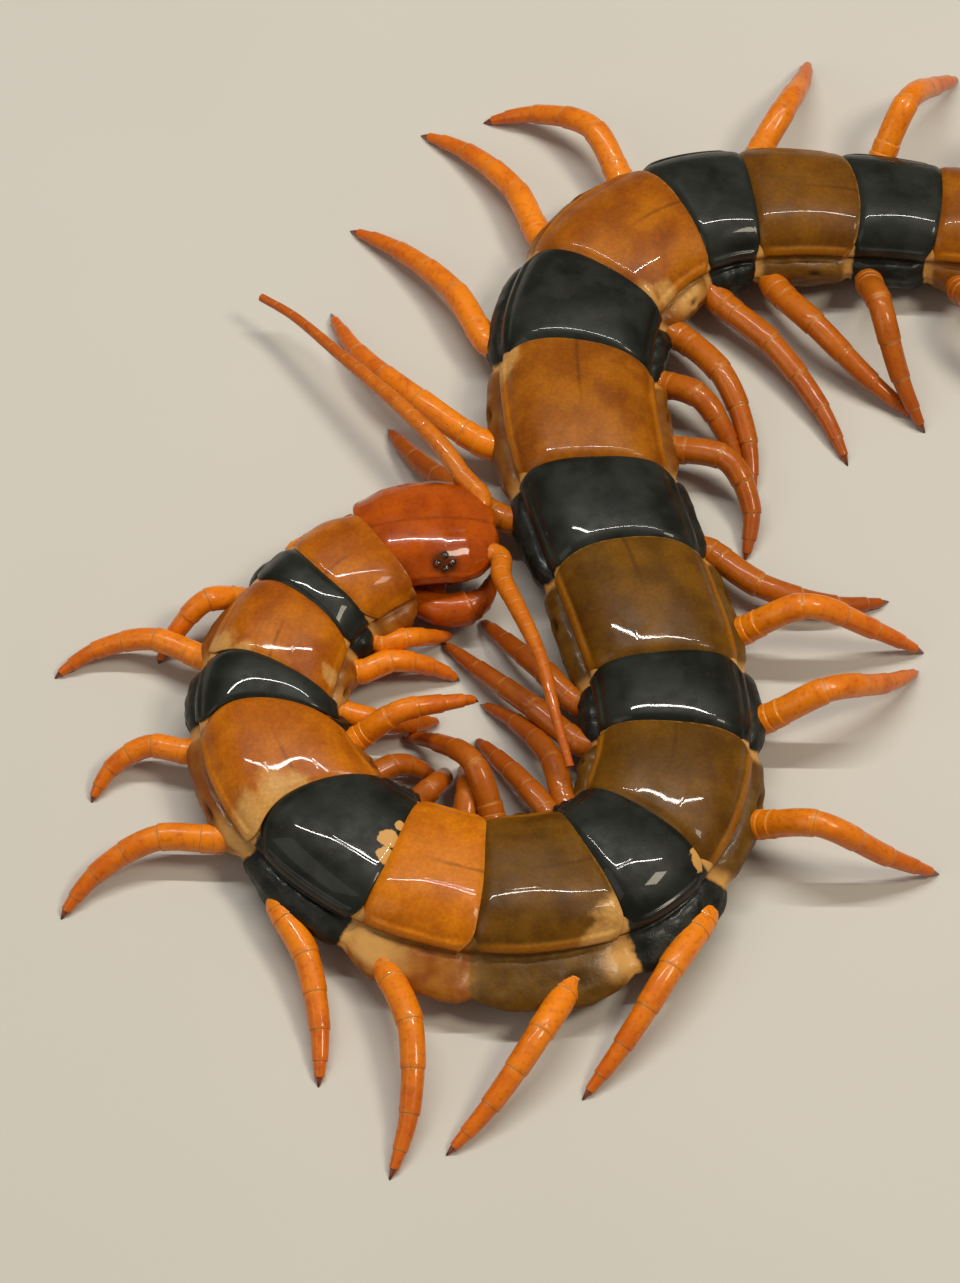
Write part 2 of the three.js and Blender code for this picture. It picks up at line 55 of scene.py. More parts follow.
# The trunk's line over the ground: where it starts, its bearing to the tail, each segment's length and turn
TRUNK_FRONT = (-31.28, -1.12)
TRUNK_BEARING = 206.5
LENGTHS = (
    6.7, 3.9, 6.8, 4.7, 10, 10.2, 10, 10, 7.4, 10, 8.1, 13.1, 10.1, 14, 9.8, 11, 7.5, 10.8, 8.3, 10.5, 7,
)
TURNS = (
    17, 15, 17, 21, 30, 25, 23, 28, 38, 29, 14, 5, -5, -15, -26, -38, -21, -9, -3, -4, -4,
)
# Width of each back plate
WIDTHS = (
    12, 12, 12.5, 13.2, 13.8, 14.2, 14.4, 14.6, 14.9, 14.8, 14.6, 14.6, 14.8, 15.2, 15.4, 15.2, 14.2, 13.2,
    12.4, 11.5, 10.4,
)
# Rear margin of the plate before each joint: how far behind the joint in the middle, its skew and its bow
MARGINS = (
    (0.1, 0.9, -0.3), (0, 0, -0.6), (-0.9, -0.6, 0.9), (0, -1.5, 1.7), (-0.3, -1.2, 2.4), (0.1, -1.3, 2.6),
    (0.8, 0.5, -0.6), (-0.4, 0.3, -0.6), (0, 0.8, -0.5), (-0.1, -0.8, -0.4), (0.2, -0.6, -0.5),
    (-0.1, -1, -0.5), (0.2, -1.3, -1.7), (-0.1, -1.4, -0.8), (0, -1, -1.8), (-0.1, -0.6, -1.3),
    (0.3, 0.6, -0.8), (0.2, 0.7, -0.4), (0.1, 1.2, -1.4), (0.2, 0.3, -0.8), (0.2, 0, -0.8), (0.8, 0, -1.6),
)
LAST = len(LENGTHS)
# Segments with a near-black plate, and those that breathe through a slit on each side
DARK_SEGMENTS = (2, 4, 6, 9, 11, 13, 15, 17, 19)
SPIRACLE_SEGMENTS = (3, 5, 8, 10, 12, 14, 16, 18, 20)

# Tone of the light plates and their flanks, as painted light and shade: below 0 leans toward amber, which is
# painted light; 0 is orange; up to 1 leans toward olive brown, which is painted shade
PAINTED_SHADE_AND_LIGHT = {5: -0.08, 7: -0.35, 8: 0.95, 10: 0.95, 12: 0.95, 14: 0.4, 16: 0.25, 18: 0.85, 20: 0.45, 21: 0.3}

# Pale worn patches on the plates: across from -1 to 1, along from 0 to 1, and radius
PALE_SPOTS = {
    3: ((0.8, 0.97, 0.16), (0.4, 1.02, 0.1), (-0.93, 0.7, 0.1)),
    5: ((0.35, 1.0, 0.22), (0.8, 0.95, 0.18), (0.05, 1.0, 0.12)),
    6: ((-0.1, 0.93, 0.1), (0.12, 1.0, 0.1), (-0.35, 0.97, 0.06)),
    8: ((0.76, 1.02, 0.17), (0.97, 0.87, 0.11)),
    9: ((0.8, 1.0, 0.1),),
    14: ((-0.9, 0.95, 0.12),),
    16: ((0.8, 0.05, 0.14), (0.95, 0.3, 0.12)),
}

# Each walking leg: reach of the foot, degrees ahead of square, sideways bow, length, place along its segment
STANCE = {
    "left": (
        (9.4, 86, 2, 12.5, 0.85), (9.6, -63, 1, 12.4, 1), (14.8, -17, 2.7, 16.9, 0.85),
        (10.2, -8, 2.6, 12.7, 1.25), (16.8, 9, 2.9, 18.9, 0.86), (18.5, -55, -1.5, 19.4, 0.44),
        (21.3, -24, -2.6, 23.1, 0.3), (20.7, 47, -1.3, 22.1, 0.64), (21.8, 83, -0.9, 22.8, 0.74),
        (18.2, -6, 1.5, 23, 0.45), (18, -22, 2, 22.5, 0.35), (18.6, 14, -0.5, 23, 0.25),
        (19, 31, 3.5, 21.2, 0.05), (13.1, 66, -4.1, 17.4, 0.23), (12.1, 53, -1.4, 14.6, -0.2),
        (19.6, 44, -2.5, 21.6, -0.11), (22.6, -12, -1.6, 23.6, 0.05), (20.6, -43, 1.4, 22.1, 0.18),
        (17, -24, 1.5, 22, 0.25), (17, -44, 2, 22, 0.3),
    ),
    "right": (
        (7.8, 72, -0.8, 9.8, 0.9), (10, 30, 1, 11.5, 1.6), (9.3, 17, -1.2, 10.8, 1.22),
        (12, -17, 0, 13.8, 2.3), (6.4, -33, 1.2, 8.4, 1.11), (6.2, 6, -1, 8.8, 0.82), (8, 17, -0.4, 10, 0.58),
        (14.8, 42, -1.6, 18.6, 0), (13, 20, 0, 14.1, -0.22), (16.1, -26, -1.7, 17.5, -0.11),
        (19.8, -46, 0.5, 20.7, 0.11),
        (15.4, -64, 0.5, 16.5, -0.07), (18.6, -61, 1.4, 19.6, 0.8), (25.5, -56, 2.7, 27.4, 0.41),
        (22.7, -43, -1.8, 23.7, 0.2), (20.6, -17, -2.2, 21.9, 0.21), (17.9, 24, -3.6, 21.1, -0.2),
        (17.2, -24, -1, 19.4, 0.12), (17.5, -26, 0.5, 22, 0.25), (17, -46, 1.5, 22, 0.3),
    ),
}
# A foot that is held over the floor, and its height
TIP_RAISED = {(4, "right"): 5}
SIDES = {"left": 1, "right": -1}


def ease(low, high, x):
    """0 below low, 1 above high and a smooth step between them."""
    t = min(max((x - low) / (high - low), 0), 1)
    return t * t * (3 - 2 * t)


def hump(x, width):
    """A bell of height 1 round zero."""
    return math.exp(-(x / width) ** 2)


def between(pairs, x):
    """Reads a list of (input, output) pairs along straight lines."""
    for (x0, y0), (x1, y1) in zip(pairs, pairs[1:]):
        if x <= x1:
            return y0 + (y1 - y0) * (x - x0) / (x1 - x0)
    return pairs[-1][1]


def rough(point, scale):
    """Smooth noise from -1 to 1 at a place."""
    return noise.noise(point * scale)


def curve(start, end, leave, arrive, t):
    """A point between two others, on a smooth curve that has these directions at its ends."""
    return (
        start + leave * t + (3 * (end - start) - 2 * leave - arrive) * t**2
        + (2 * (start - end) + leave + arrive) * t**3
    )


class Path:
    """A smooth curve through points, read by a share of its own length."""

    def __init__(self, points, steps=14):
        points = [Vector(p) for p in points]
        ends = [2 * points[0] - points[1], *points, 2 * points[-1] - points[-2]]
        self.samples = []
        for a, b, c, d in zip(ends, ends[1:], ends[2:], ends[3:]):
            before, span, after = ((q - p).length ** 0.5 for p, q in ((a, b), (b, c), (c, d)))
            leave = (b - a) / before - (c - a) / (before + span) + (c - b) / span
            arrive = (c - b) / span - (d - b) / (span + after) + (d - c) / after
            for k in range(steps):
                self.samples.append(curve(b, c, leave * span, arrive * span, k / steps))
        self.samples.append(points[-1])
        self.reached = [0.0]
        for a, b in zip(self.samples, self.samples[1:]):
            self.reached.append(self.reached[-1] + (b - a).length)
        self.length = self.reached[-1]

    def at(self, share):
        """The point and direction at a share of the length."""
        goal = min(max(share, 0), 1) * self.length
        k = 0
        while k < len(self.reached) - 2 and self.reached[k + 1] < goal:
            k += 1
        a, b = self.samples[k], self.samples[k + 1]
        t = (goal - self.reached[k]) / max(self.reached[k + 1] - self.reached[k], 1e-9)
        before = self.samples[max(k - 1, 0)]
        after = self.samples[min(k + 2, len(self.samples) - 1)]
        way = (b - before).lerp(after - a, t) if k else (b - a).lerp(after - a, t)
        return a.lerp(b, t), way.normalized()


def walk(start, length, turn, share):
    """Place and bearing after a share of an arc of steady turn."""
    x, y, bearing = start
    half = math.radians(turn * share) / 2
    chord = length * share * (math.sin(half) / half if abs(half) > 1e-9 else 1)
    way = math.radians(bearing) + half
    return x + chord * math.cos(way), y + chord * math.sin(way), bearing + turn * share


def compass(bearing):
    """The rearward and leftward directions at a bearing."""
    a = math.radians(bearing)
    return Vector((math.cos(a), math.sin(a), 0)), Vector((math.sin(a), -math.cos(a), 0))


def framed(start, bearing):
    """A function that gives the point so far forward of a joint, to its left, and up."""
    rear, left = compass(bearing)
    origin = Vector((start[0], start[1], 0))
    return lambda ahead, across, up: origin - rear * ahead + left * across + UP * up


def axes_of(place):
    """The forward, left and up directions of a frame function."""
    origin = place(0, 0, 0)
    return [place(*unit) - origin for unit in ((1, 0, 0), (0, 1, 0), (0, 0, 1))]


# The head's frame at the neck, and the frame of the fangs and feelers
in_head = framed((-31.68, 0.88), 185.5)
in_face = framed((-31.38, -0.62), 190)


class Trunk:
    """The trunk's line, widths and heights."""

    def __init__(self, sizes):
        self.belly = sizes.belly_height / MM
        self.height = sizes.body_height / MM
        self.broad = sizes.plate_width / MM / max(WIDTHS)
        self.stiffness = sizes.plate_stiffness
        self.joints = [None, (*TRUNK_FRONT, TRUNK_BEARING)]
        for length, turn in zip(LENGTHS, TURNS):
            self.joints.append(walk(self.joints[-1], length, turn, 1))
        self.in_tail = framed(self.joints[-1], self.joints[-1][2])

    def at(self, segment, share, stiffness=0.0):
        """Point, rearward and leftward directions of the trunk, or of a plate that bends less than it."""
        length, turn = LENGTHS[segment - 1], TURNS[segment - 1]
        middle = walk(self.joints[segment], length, turn, 0.5)
        x, y, bearing = walk(middle, length, turn * (1 - stiffness), share - 0.5)
        return Vector((x, y, 0)), *compass(bearing)

    def half(self, segment, share):
        """Half the width of the back plates."""
        at = min(max(segment + share - 1.5, 0), LAST - 1)
        k = min(int(at), LAST - 2)
        return (WIDTHS[k] + (WIDTHS[k + 1] - WIDTHS[k]) * (at - k)) * self.broad / 2


# Section of the trunk under its plates, from the middle of the back to the middle of the belly: across, up
SKIN_SECTION = (
    (0, 0.9), (0.45, 0.88), (0.8, 0.8), (0.94, 0.7), (0.97, 0.61), (1.07, 0.54), (1.14, 0.45), (1.15, 0.35),
    (1.08, 0.22), (0.93, 0.1), (0.7, 0.03), (0.35, 0), (0, 0),
)


def section(h):
    """The skin's section at a share of the way from back to belly: across, up."""
    last = len(SKIN_SECTION) - 1
    k = min(int(h * last), last - 1)
    p = [Vector(SKIN_SECTION[min(max(k + d, 0), last)]) for d in (-1, 0, 1, 2)]
    if k == 0:
        p[0] = Vector((-p[2].x, p[2].y))
    if k == last - 1:
        p[3] = Vector((-p[1].x, p[1].y))
    return curve(p[1], p[2], (p[2] - p[0]) / 2, (p[3] - p[1]) / 2, h * last - k)


def margin(joint, s):
    """How far behind a joint the plate's margin lies, at a place across it from -1, right, to 1, left."""
    middle, skew, bow = MARGINS[joint - 1]
    return middle + skew * s + bow * s * s


# A leg's path starts inside the flank and shows outside it, in half-widths of the plate
HIP_INSIDE = 0.84
HIP_OUTSIDE = 1.1
# The least and the greatest arch of a leg, and how often that range is halved to find its own
ARCH_LIMITS = (0.8, 8)
ARCH_HALVINGS = 12


def leg_path(trunk, n, side, hip_height):
    """The leg's centre line, arched until it has its stated length."""
    reach, ahead, bow, length, place = STANCE[side][n - 1]
    raised = TIP_RAISED.get((n, side), 0)
    point, rear, left = trunk.at(n, place)
    out = left * SIDES[side]
    half = trunk.half(n, place)
    hip = point + out * half * HIP_INSIDE + UP * (hip_height + 0.3)
    a = math.radians(ahead)
    toward = out * math.cos(a) - rear * math.sin(a)
    beside = -rear * math.cos(a) - out * math.sin(a)
    root = point + out * half * HIP_OUTSIDE

    def arched(arch, steps):
        def at(t, z):
            return root + toward * reach * t + beside * 4 * bow * t * (1 - t) + UP * z
        return Path([
            hip,
            at(0.03, hip_height + 0.15 * arch + 0.1 * raised),
            at(0.36, 2.2 + arch + 0.5 * raised),
            at(0.72, 1.3 + 0.45 * arch + 0.8 * raised),
            at(0.94, 0.45 + 0.08 * arch + raised),
            at(1, raised),
        ], steps)

    low, high = ARCH_LIMITS
    for _ in range(ARCH_HALVINGS):
        middle = (low + high) / 2
        if arched(middle, 6).length < length + half * 0.2:
            low = middle
        else:
            high = middle
    return arched(low, 20)


# Building meshes

# Points nearer to each other than this are merged
MERGE_DISTANCE = 0.0005
# The lowest that any point may lie over the floor
FLOOR_CLEARANCE = 0.01


def start(*marks):
    """An empty mesh whose points can carry these painted marks."""
    bm = bmesh.new()
    for mark in marks:
        bm.verts.layers.float.new(mark)
    return bm


def start_limb():
    """An empty mesh with the marks of a limb."""
    return start("joint", "tip", "around", "tone")


def paint(bm, vert, marks):
    """Paints marks on a point."""
    for mark, value in marks.items():
        vert[bm.verts.layers.float[mark]] = value


def sheet(bm, columns, rows, place):
    """Adds a grid and lets a function place its points and paint their marks."""
    made = bmesh.ops.create_grid(bm, x_segments=columns, y_segments=rows, size=0.5)["verts"]
    for vert in made:
        vert.co, marks = place(vert.co.x + 0.5, vert.co.y + 0.5)
        paint(bm, vert, marks)
    return made


def thicken(bm, thickness):
    """Gives a sheet its thickness."""
    bmesh.ops.solidify(bm, geom=bm.verts[:] + bm.edges[:] + bm.faces[:], thickness=thickness)


def sleeve(bm, columns, rows, place):
    """Adds a grid rolled into a closed skin, whose first and last rows the function draws to a point."""
    made = sheet(bm, columns, rows, place)
    bmesh.ops.remove_doubles(bm, verts=made, dist=MERGE_DISTANCE)


def tube(bm, path, rings, sides, flat=1.0):
    """Adds a closed tube round a path. A ring is its share of the path, its radius and its marks."""
    rings = [(rings[0][0], 0, rings[0][2]), *rings, (rings[-1][0], 0, rings[-1][2])]
    places = []
    for share, radius, marks in rings:
        centre, way = path.at(share)
        across = way.cross(UP).normalized()
        places.append((centre, across, across.cross(way), radius, marks))

    def place(u, v):
        centre, across, over, radius, marks = places[round(v * (len(rings) - 1))]
        a = u * 2 * math.pi
        at = centre + across * math.cos(a) * radius + over * math.sin(a) * radius * flat
        return at, {**marks, "around": math.sin(a)}
    sleeve(bm, sides, len(rings) - 1, place)


def cone(bm, root, tip, radius, sides, marks):
    """Adds a tooth, spur or spine from a root to a tip."""
    root, tip = Vector(root), Vector(tip)
    turn = (tip - root).to_track_quat("Z", "Y").to_matrix().to_4x4()
    turn.translation = (root + tip) / 2
    made = bmesh.ops.create_cone(
        bm, cap_ends=True, segments=sides, radius1=radius, radius2=radius * 0.08,
        depth=(tip - root).length, matrix=turn,
    )["verts"]
    for vert in made:
        paint(bm, vert, marks)


def bead(bm, centre, axes, radii, marks, rows=10, columns=16):
    """Adds an egg whose radii lie along three directions."""
    made = bmesh.ops.create_uvsphere(bm, u_segments=columns, v_segments=rows, radius=1)["verts"]
    for vert in made:
        x, y, z = vert.co
        vert.co = centre + axes[0] * radii[0] * x + axes[1] * radii[1] * y + axes[2] * radii[2] * z
        paint(bm, vert, marks)


def show(name, data):
    """Puts a mesh, lamp or camera in the scene."""
    made = bpy.data.objects.new(name, data)
    bpy.context.scene.collection.objects.link(made)
    return made


def piece(bm, name, material, slot, *replaced):
    """Finishes a mesh as a piece of the animal, in metres, standing for its solids."""
    bmesh.ops.recalc_face_normals(bm, faces=bm.faces)
    for vert in bm.verts:
        vert.co.z = max(vert.co.z, FLOOR_CLEARANCE)
    bmesh.ops.scale(bm, vec=(MM, MM, MM), verts=bm.verts)
    mesh = bpy.data.meshes.new(name)
    bm.to_mesh(mesh)
    bm.free()
    mesh.shade_smooth()
    mesh.materials.append(material)
    made = show(name, mesh)
    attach(made, "root")
    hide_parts(*replaced)


# Materials

# How far each colour of light spreads under a surface, and the depth in metres
GLOW_SPREAD = (1.0, 0.35, 0.1)
GLOW_DEPTH = 0.0012


class Finish:
    """A material whose nodes are added one after another."""

    def __init__(self, name, coat=0.0, coat_roughness=0.1, glow=0.0, shine=0.5):
        self.material = bpy.data.materials.new(name)
        self.material.use_nodes = True
        self.nodes = self.material.node_tree.nodes
        self.links = self.material.node_tree.links
        self.shader = self.nodes["Principled BSDF"]
        self.shader.inputs["Specular IOR Level"].default_value = shine
        self.shader.inputs["Coat Weight"].default_value = coat
        self.shader.inputs["Coat Roughness"].default_value = coat_roughness
        self.shader.inputs["Subsurface Weight"].default_value = glow
        self.shader.inputs["Subsurface Radius"].default_value = GLOW_SPREAD
        self.shader.inputs["Subsurface Scale"].default_value = GLOW_DEPTH
        self.places = self.nodes.new("ShaderNodeTexCoord").outputs["Object"]

    def fill(self, socket, value):
        """Links a socket to another, or sets its number or colour."""
        if isinstance(value, bpy.types.NodeSocket):
            self.links.new(value, socket)
        elif socket.type == "RGBA":
            socket.default_value = (*value, 1.0)
        else:
            socket.default_value = value

    def mark(self, name):
        """A mark painted on the points."""
        node = self.nodes.new("ShaderNodeAttribute")
        node.attribute_name = name
        return node.outputs["Fac"]

    def clouds(self, size, detail=3.0, seed=0.0):
        """Noise whose patches are about a size in millimetres."""
        moved = self.nodes.new("ShaderNodeMapping")
        moved.inputs["Location"].default_value = (seed, seed, seed)
        self.links.new(self.places, moved.inputs["Vector"])
        node = self.nodes.new("ShaderNodeTexNoise")
        node.inputs["Scale"].default_value = 1 / (size * MM)
        node.inputs["Detail"].default_value = detail
        self.links.new(moved.outputs["Vector"], node.inputs["Vector"])
        return node.outputs["Fac"]

    def frayed(self, mark, size, detail, depth, seed=0.0):
        """A painted mark with noise added, so that its border is ragged."""
        noise_part = self.maths("MULTIPLY", self.clouds(size, detail, seed), depth)
        return self.maths("ADD", self.mark(mark), noise_part)

    def pits(self, size, reach=0.35):
        """Small scattered pits: 0 at their middle, and 1 around them."""
        node = self.nodes.new("ShaderNodeTexVoronoi")
        node.inputs["Scale"].default_value = 1 / (size * MM)
        self.links.new(self.places, node.inputs["Vector"])
        return self.steps(node.outputs["Distance"], 0.0, reach)

    def maths(self, operation, a, b=0.0):
        """The result of a sum on numbers or sockets."""
        node = self.nodes.new("ShaderNodeMath")
        node.operation = operation
        self.fill(node.inputs[0], a)
        self.fill(node.inputs[1], b)
        return node.outputs[0]

    def steps(self, value, low, high, start=0.0, end=1.0):
        """A smooth step of a value from one level to another."""
        node = self.nodes.new("ShaderNodeMapRange")
        node.interpolation_type = "SMOOTHSTEP"
        self.fill(node.inputs["Value"], value)
        node.inputs["From Min"].default_value = low
        node.inputs["From Max"].default_value = high
        node.inputs["To Min"].default_value = start
        node.inputs["To Max"].default_value = end
        return node.outputs["Result"]

    def blend(self, share, a, b, how="MIX"):
        """A mix of two colours by a share of the second."""
        node = self.nodes.new("ShaderNodeMix")
        node.data_type = "RGBA"
        node.blend_type = how
        self.fill(node.inputs["Factor"], share)
        self.fill(node.inputs["A"], a)
        self.fill(node.inputs["B"], b)
        return node.outputs["Result"]

    def bumps(self, *heights):
        """Bumps on bumps: each is a height and its depth in millimetres."""
        normal = None
        for height, depth in heights:
            node = self.nodes.new("ShaderNodeBump")
            node.inputs["Distance"].default_value = depth * MM
            self.fill(node.inputs["Height"], height)
            if normal:
                self.links.new(normal, node.inputs["Normal"])
            normal = node.outputs["Normal"]
        self.links.new(normal, self.shader.inputs["Normal"])

    def done(self, colour, roughness):
        """Sets the colour and roughness, and gives the finished material."""
        self.fill(self.shader.inputs["Base Color"], colour)
        self.fill(self.shader.inputs["Roughness"], roughness)
        return self.material


# Where the two sutures of a back plate lie across it
SUTURE = 0.29


def light_plate_finish(tints):
    """Orange back plates, with amber where light is painted and olive brown where shade is painted, a dark
    vessel line, pale worn patches and fine pits.
    """
    f = Finish("light_plate_cuticle", coat=0.2, coat_roughness=0.035, glow=0.05, shine=0.15)
    soft = f.steps(f.clouds(4.5, 3), 0.35, 0.68)
    orange = f.blend(soft, tints.orange_deep, tints.orange)
    # Painted shade: plates with a positive tone lean toward olive brown
    olive = f.blend(soft, tints.shade_olive_deep, tints.olive)
    base = f.blend(f.mark("tone"), orange, olive)
    # Painted light: a negative tone leans the plate toward amber
    base = f.blend(f.maths("MULTIPLY", f.mark("tone"), -1), base, tints.lit_amber)
    across = f.maths("ABSOLUTE", f.mark("across"))
    wander = f.maths("MULTIPLY", f.clouds(1.6, 2, 0.3), 0.05)
    vessel = f.steps(f.maths("ADD", across, wander), 0.025, 0.07, 0.5, 0.0)
    vessel = f.maths("MULTIPLY", vessel, f.steps(f.mark("along"), 0.35, 0.8))
    base = f.blend(vessel, base, tints.vessel)
    lobes = f.steps(f.clouds(2.4, 4, 0.7), 0.42, 0.62, 0.0, 0.26)
    lobes = f.maths("MULTIPLY", lobes, f.steps(across, 0.1, 0.5))
    base = f.blend(lobes, base, tints.orange_deep, "MULTIPLY")
    suture = f.steps(f.maths("ABSOLUTE", f.maths("SUBTRACT", across, SUTURE)), 0.004, 0.02, 0.035, 0.0)
    base = f.blend(suture, base, tints.vessel)
    base = f.blend(f.steps(across, 0.9, 0.97, 0.0, 0.45), base, tints.rim)
    base = f.blend(f.steps(f.frayed("pale", 0.9, 4, 0.5, 0.1), 0.5, 0.95, 0.0, 0.9), base, tints.membrane)
    base = f.blend(1.0, base, f.steps(f.clouds(0.35, 3), 0.3, 0.75, 0.86, 1.08), "MULTIPLY")
    f.bumps((f.clouds(3.2, 1, 0.2), 0.025), (f.pits(0.42), 0.006), (f.clouds(0.2, 2), 0.004))
    return f.done(base, f.steps(f.clouds(1.7, 4), 0.3, 0.75, 0.34, 0.5))


def dark_plate_finish(tints):
    """Near-black back plates with brown specks, brown side rims and pale worn patches."""
    f = Finish("dark_plate_cuticle", coat=0.28, coat_roughness=0.03, shine=0.18)
    base = f.blend(f.steps(f.clouds(3.5, 4), 0.35, 0.7), tints.black, tints.slate)
    speck = f.steps(f.clouds(0.3, 2, 0.6), 0.66, 0.72, 0.0, 0.6)
    speck = f.maths("MULTIPLY", speck, f.steps(f.clouds(2.8, 2, 0.9), 0.5, 0.6))
    base = f.blend(speck, base, tints.vessel)
    across = f.maths("ABSOLUTE", f.mark("across"))
    base = f.blend(f.steps(across, 0.94, 1.0, 0.0, 0.3), base, tints.brown_edge)
    base = f.blend(f.steps(f.frayed("pale", 0.7, 4, 0.5, 0.1), 0.72, 0.8), base, tints.membrane)
    f.bumps((f.clouds(2.6, 1, 0.2), 0.025), (f.pits(0.4), 0.006), (f.clouds(0.18, 2), 0.004))
    return f.done(base, f.steps(f.clouds(1.2, 4), 0.3, 0.75, 0.36, 0.52))


def skin_finish(tints):
    """Soft skin of the flanks and joints: ochre, olive brown painted shade beside the shaded plates, pale in
    its folds, and slate on the dark segments.
    """
    f = Finish("flank_skin", coat=0.1, coat_roughness=0.12, glow=0.08, shine=0.25)
    soft = f.steps(f.clouds(2.5, 4), 0.35, 0.7)
    orange = f.blend(soft, tints.flank_deep, tints.flank)
    # Painted shade: flanks beside the shaded plates lean toward olive brown by their tone
    olive = f.blend(soft, tints.shade_olive_deep, tints.flank_shade_olive)
    light = f.blend(f.mark("tone"), orange, olive)
    light = f.blend(f.steps(f.frayed("fold", 1.1, 3, 0.35, 0.4), 0.35, 1.05), light, tints.membrane)
    dark = f.blend(soft, tints.black, tints.slate)
    dark = f.blend(f.steps(f.clouds(0.5, 3, 0.5), 0.62, 0.72, 0.0, 0.5), dark, tints.brown_edge)
    base = f.blend(f.steps(f.frayed("dark", 0.9, 3, 0.5, 0.8), 0.61, 0.89), light, dark)
    base = f.blend(f.maths("MULTIPLY", f.mark("slit"), 0.9), base, tints.black)
    f.bumps((f.clouds(0.8, 3, 0.3), 0.08), (f.pits(0.3, 0.4), 0.012))
    return f.done(base, f.steps(f.clouds(1.0, 3), 0.3, 0.7, 0.34, 0.55))


def belly_finish(tints):
    """Ochre belly plates, slate under the dark segments."""
    f = Finish("belly_plate_cuticle", coat=0.25, coat_roughness=0.15, glow=0.1)
    base = f.blend(f.steps(f.clouds(3, 3), 0.35, 0.7), tints.olive, tints.flank)
    base = f.blend(f.mark("tone"), base, tints.slate)
    f.bumps((f.clouds(1.5, 3), 0.1), (f.pits(0.4), 0.01))
    return f.done(base, f.steps(f.clouds(1.2, 3), 0.3, 0.7, 0.3, 0.45))


def limb_finish(name, tints, near, far, coat=0.4):
    """Glossy limb cuticle: darker toward the tip, with a thin dark ring at each joint and, on the top of each
    joint, a pale membrane mark that is also a painted glint.
    """
    f = Finish(name, coat=coat, coat_roughness=0.04, glow=0.05, shine=0.2)
    share = f.maths("ADD", f.mark("tip"), f.steps(f.clouds(2.2, 3), 0.35, 0.7, -0.15, 0.2))
    base = f.blend(f.steps(share, 0.1, 1.0), near, far)
    base = f.blend(f.steps(f.clouds(0.5, 4, 0.5), 0.5, 0.7, 0.0, 0.3), base, tints.orange_deep, "MULTIPLY")
    # The tone mark darkens a limb: partly its own tone, and on the shaded walking legs painted shade
    base = f.blend(f.mark("tone"), base, tints.leg_dark_and_shade)
    joint = f.mark("joint")
    # Pale joint membrane shown only on the top side, where it also serves as a painted glint
    joint_membrane_and_glint = f.maths("MULTIPLY", f.steps(joint, 0.3, 0.7), f.steps(f.mark("around"), 0.7, 0.98, 0.0, 0.4))
    base = f.blend(joint_membrane_and_glint, base, tints.membrane)
    base = f.blend(f.steps(joint, 0.88, 1.0, 0.0, 0.45), base, tints.vessel)
    f.bumps((f.clouds(0.9, 2, 0.2), 0.03), (f.pits(0.25), 0.006))
    return f.done(base, f.steps(f.clouds(0.9, 3), 0.3, 0.7, 0.34, 0.5))


def horn_finish(tints):
    """Claws, fang tips and spines: brown at the root and black at the point."""
    f = Finish("claw_horn", coat=0.5, coat_roughness=0.06)
    base = f.blend(f.steps(f.frayed("tip", 0.4, 2, 0.2), 0.65, 1.1), tints.claw, tints.black)
    f.bumps((f.clouds(0.25, 3), 0.01))
    return f.done(base, f.steps(f.clouds(0.5, 2), 0.3, 0.7, 0.14, 0.26))


def head_finish(tints):
    """The red-orange head shield, very glossy, with a dark middle line and darker round the eyes."""
    f = Finish("head_cuticle", coat=0.4, coat_roughness=0.015, glow=0.05, shine=0.15)
    base = f.blend(f.steps(f.clouds(3.2, 3), 0.35, 0.7), tints.head_deep, tints.head)
    base = f.blend(f.steps(f.mark("along"), 0.55, 1.0, 0.0, 0.2), base, tints.head_deep)
    across = f.maths("ABSOLUTE", f.mark("across"))
    base = f.blend(f.steps(across, 0.05, 0.0, 0.0, 0.35), base, tints.vessel)
    base = f.blend(f.steps(f.mark("eye"), 0.3, 0.8, 0.0, 0.85), base, tints.vessel)
    base = f.blend(f.steps(f.clouds(0.4, 3), 0.45, 0.7, 0.0, 0.25), base, tints.head_deep, "MULTIPLY")
    f.bumps((f.clouds(2.4, 1), 0.02), (f.pits(0.38, 0.3), 0.006))
    return f.done(base, f.steps(f.clouds(1.4, 3), 0.3, 0.7, 0.16, 0.3))


def eye_finish(tints):
    """Black, glassy single eyes."""
    f = Finish("eye_lens", coat=1.0, coat_roughness=0.02)
    base = f.blend(f.steps(f.clouds(0.5, 2), 0.4, 0.7), tints.black, tints.claw)
    f.bumps((f.clouds(0.3, 2), 0.004))
    return f.done(base, f.steps(f.clouds(0.6, 2), 0.3, 0.7, 0.05, 0.12))


# Pieces of the trunk

# Where the grid of a back plate is drawn together: place on the grid, place on the plate
PLATE_COLUMNS = (
    (0, 0), (0.25, 0.255), (0.32, 0.275), (0.4, 0.29), (0.48, 0.305), (0.54, 0.325), (0.8, 0.88),
    (0.87, 0.92), (0.94, 0.965), (1, 1),
)
PLATE_ROWS = ((0, 0), (0.22, 0.12), (0.72, 0.8), (0.88, 0.95), (1, 1))
PLATE_GRID = (76, 46)
PLATE_SEED = 7
# Each plate's front is tucked under the one before it, and its rear margin lies over the next
FRONT_TUCK = 1.0
FRONT_DROP = 0.95
REAR_OVERLAP = 0.25
# How far back a plate's corners are rounded
CORNER = 0.9
# The raised side rim and the furrow inside it, across the plate
RIM = 0.965
FURROW = 0.905


def plate_outline(segment, s):
    """Where a back plate starts and ends along its segment, at a place across it."""
    corner = CORNER * (1.8 if segment == 1 else 1) * max(0, (abs(s) - 0.76) / 0.24) ** 2.4
    front = margin(segment, s) + corner * 0.6 - FRONT_TUCK * (segment > 1)
    if segment == LAST:
        return front, LENGTHS[-1] + 0.4 + 2.3 * (1 - abs(s) ** 2.6) - corner
    return front, LENGTHS[segment - 1] + margin(segment + 1, s) + REAR_OVERLAP - corner


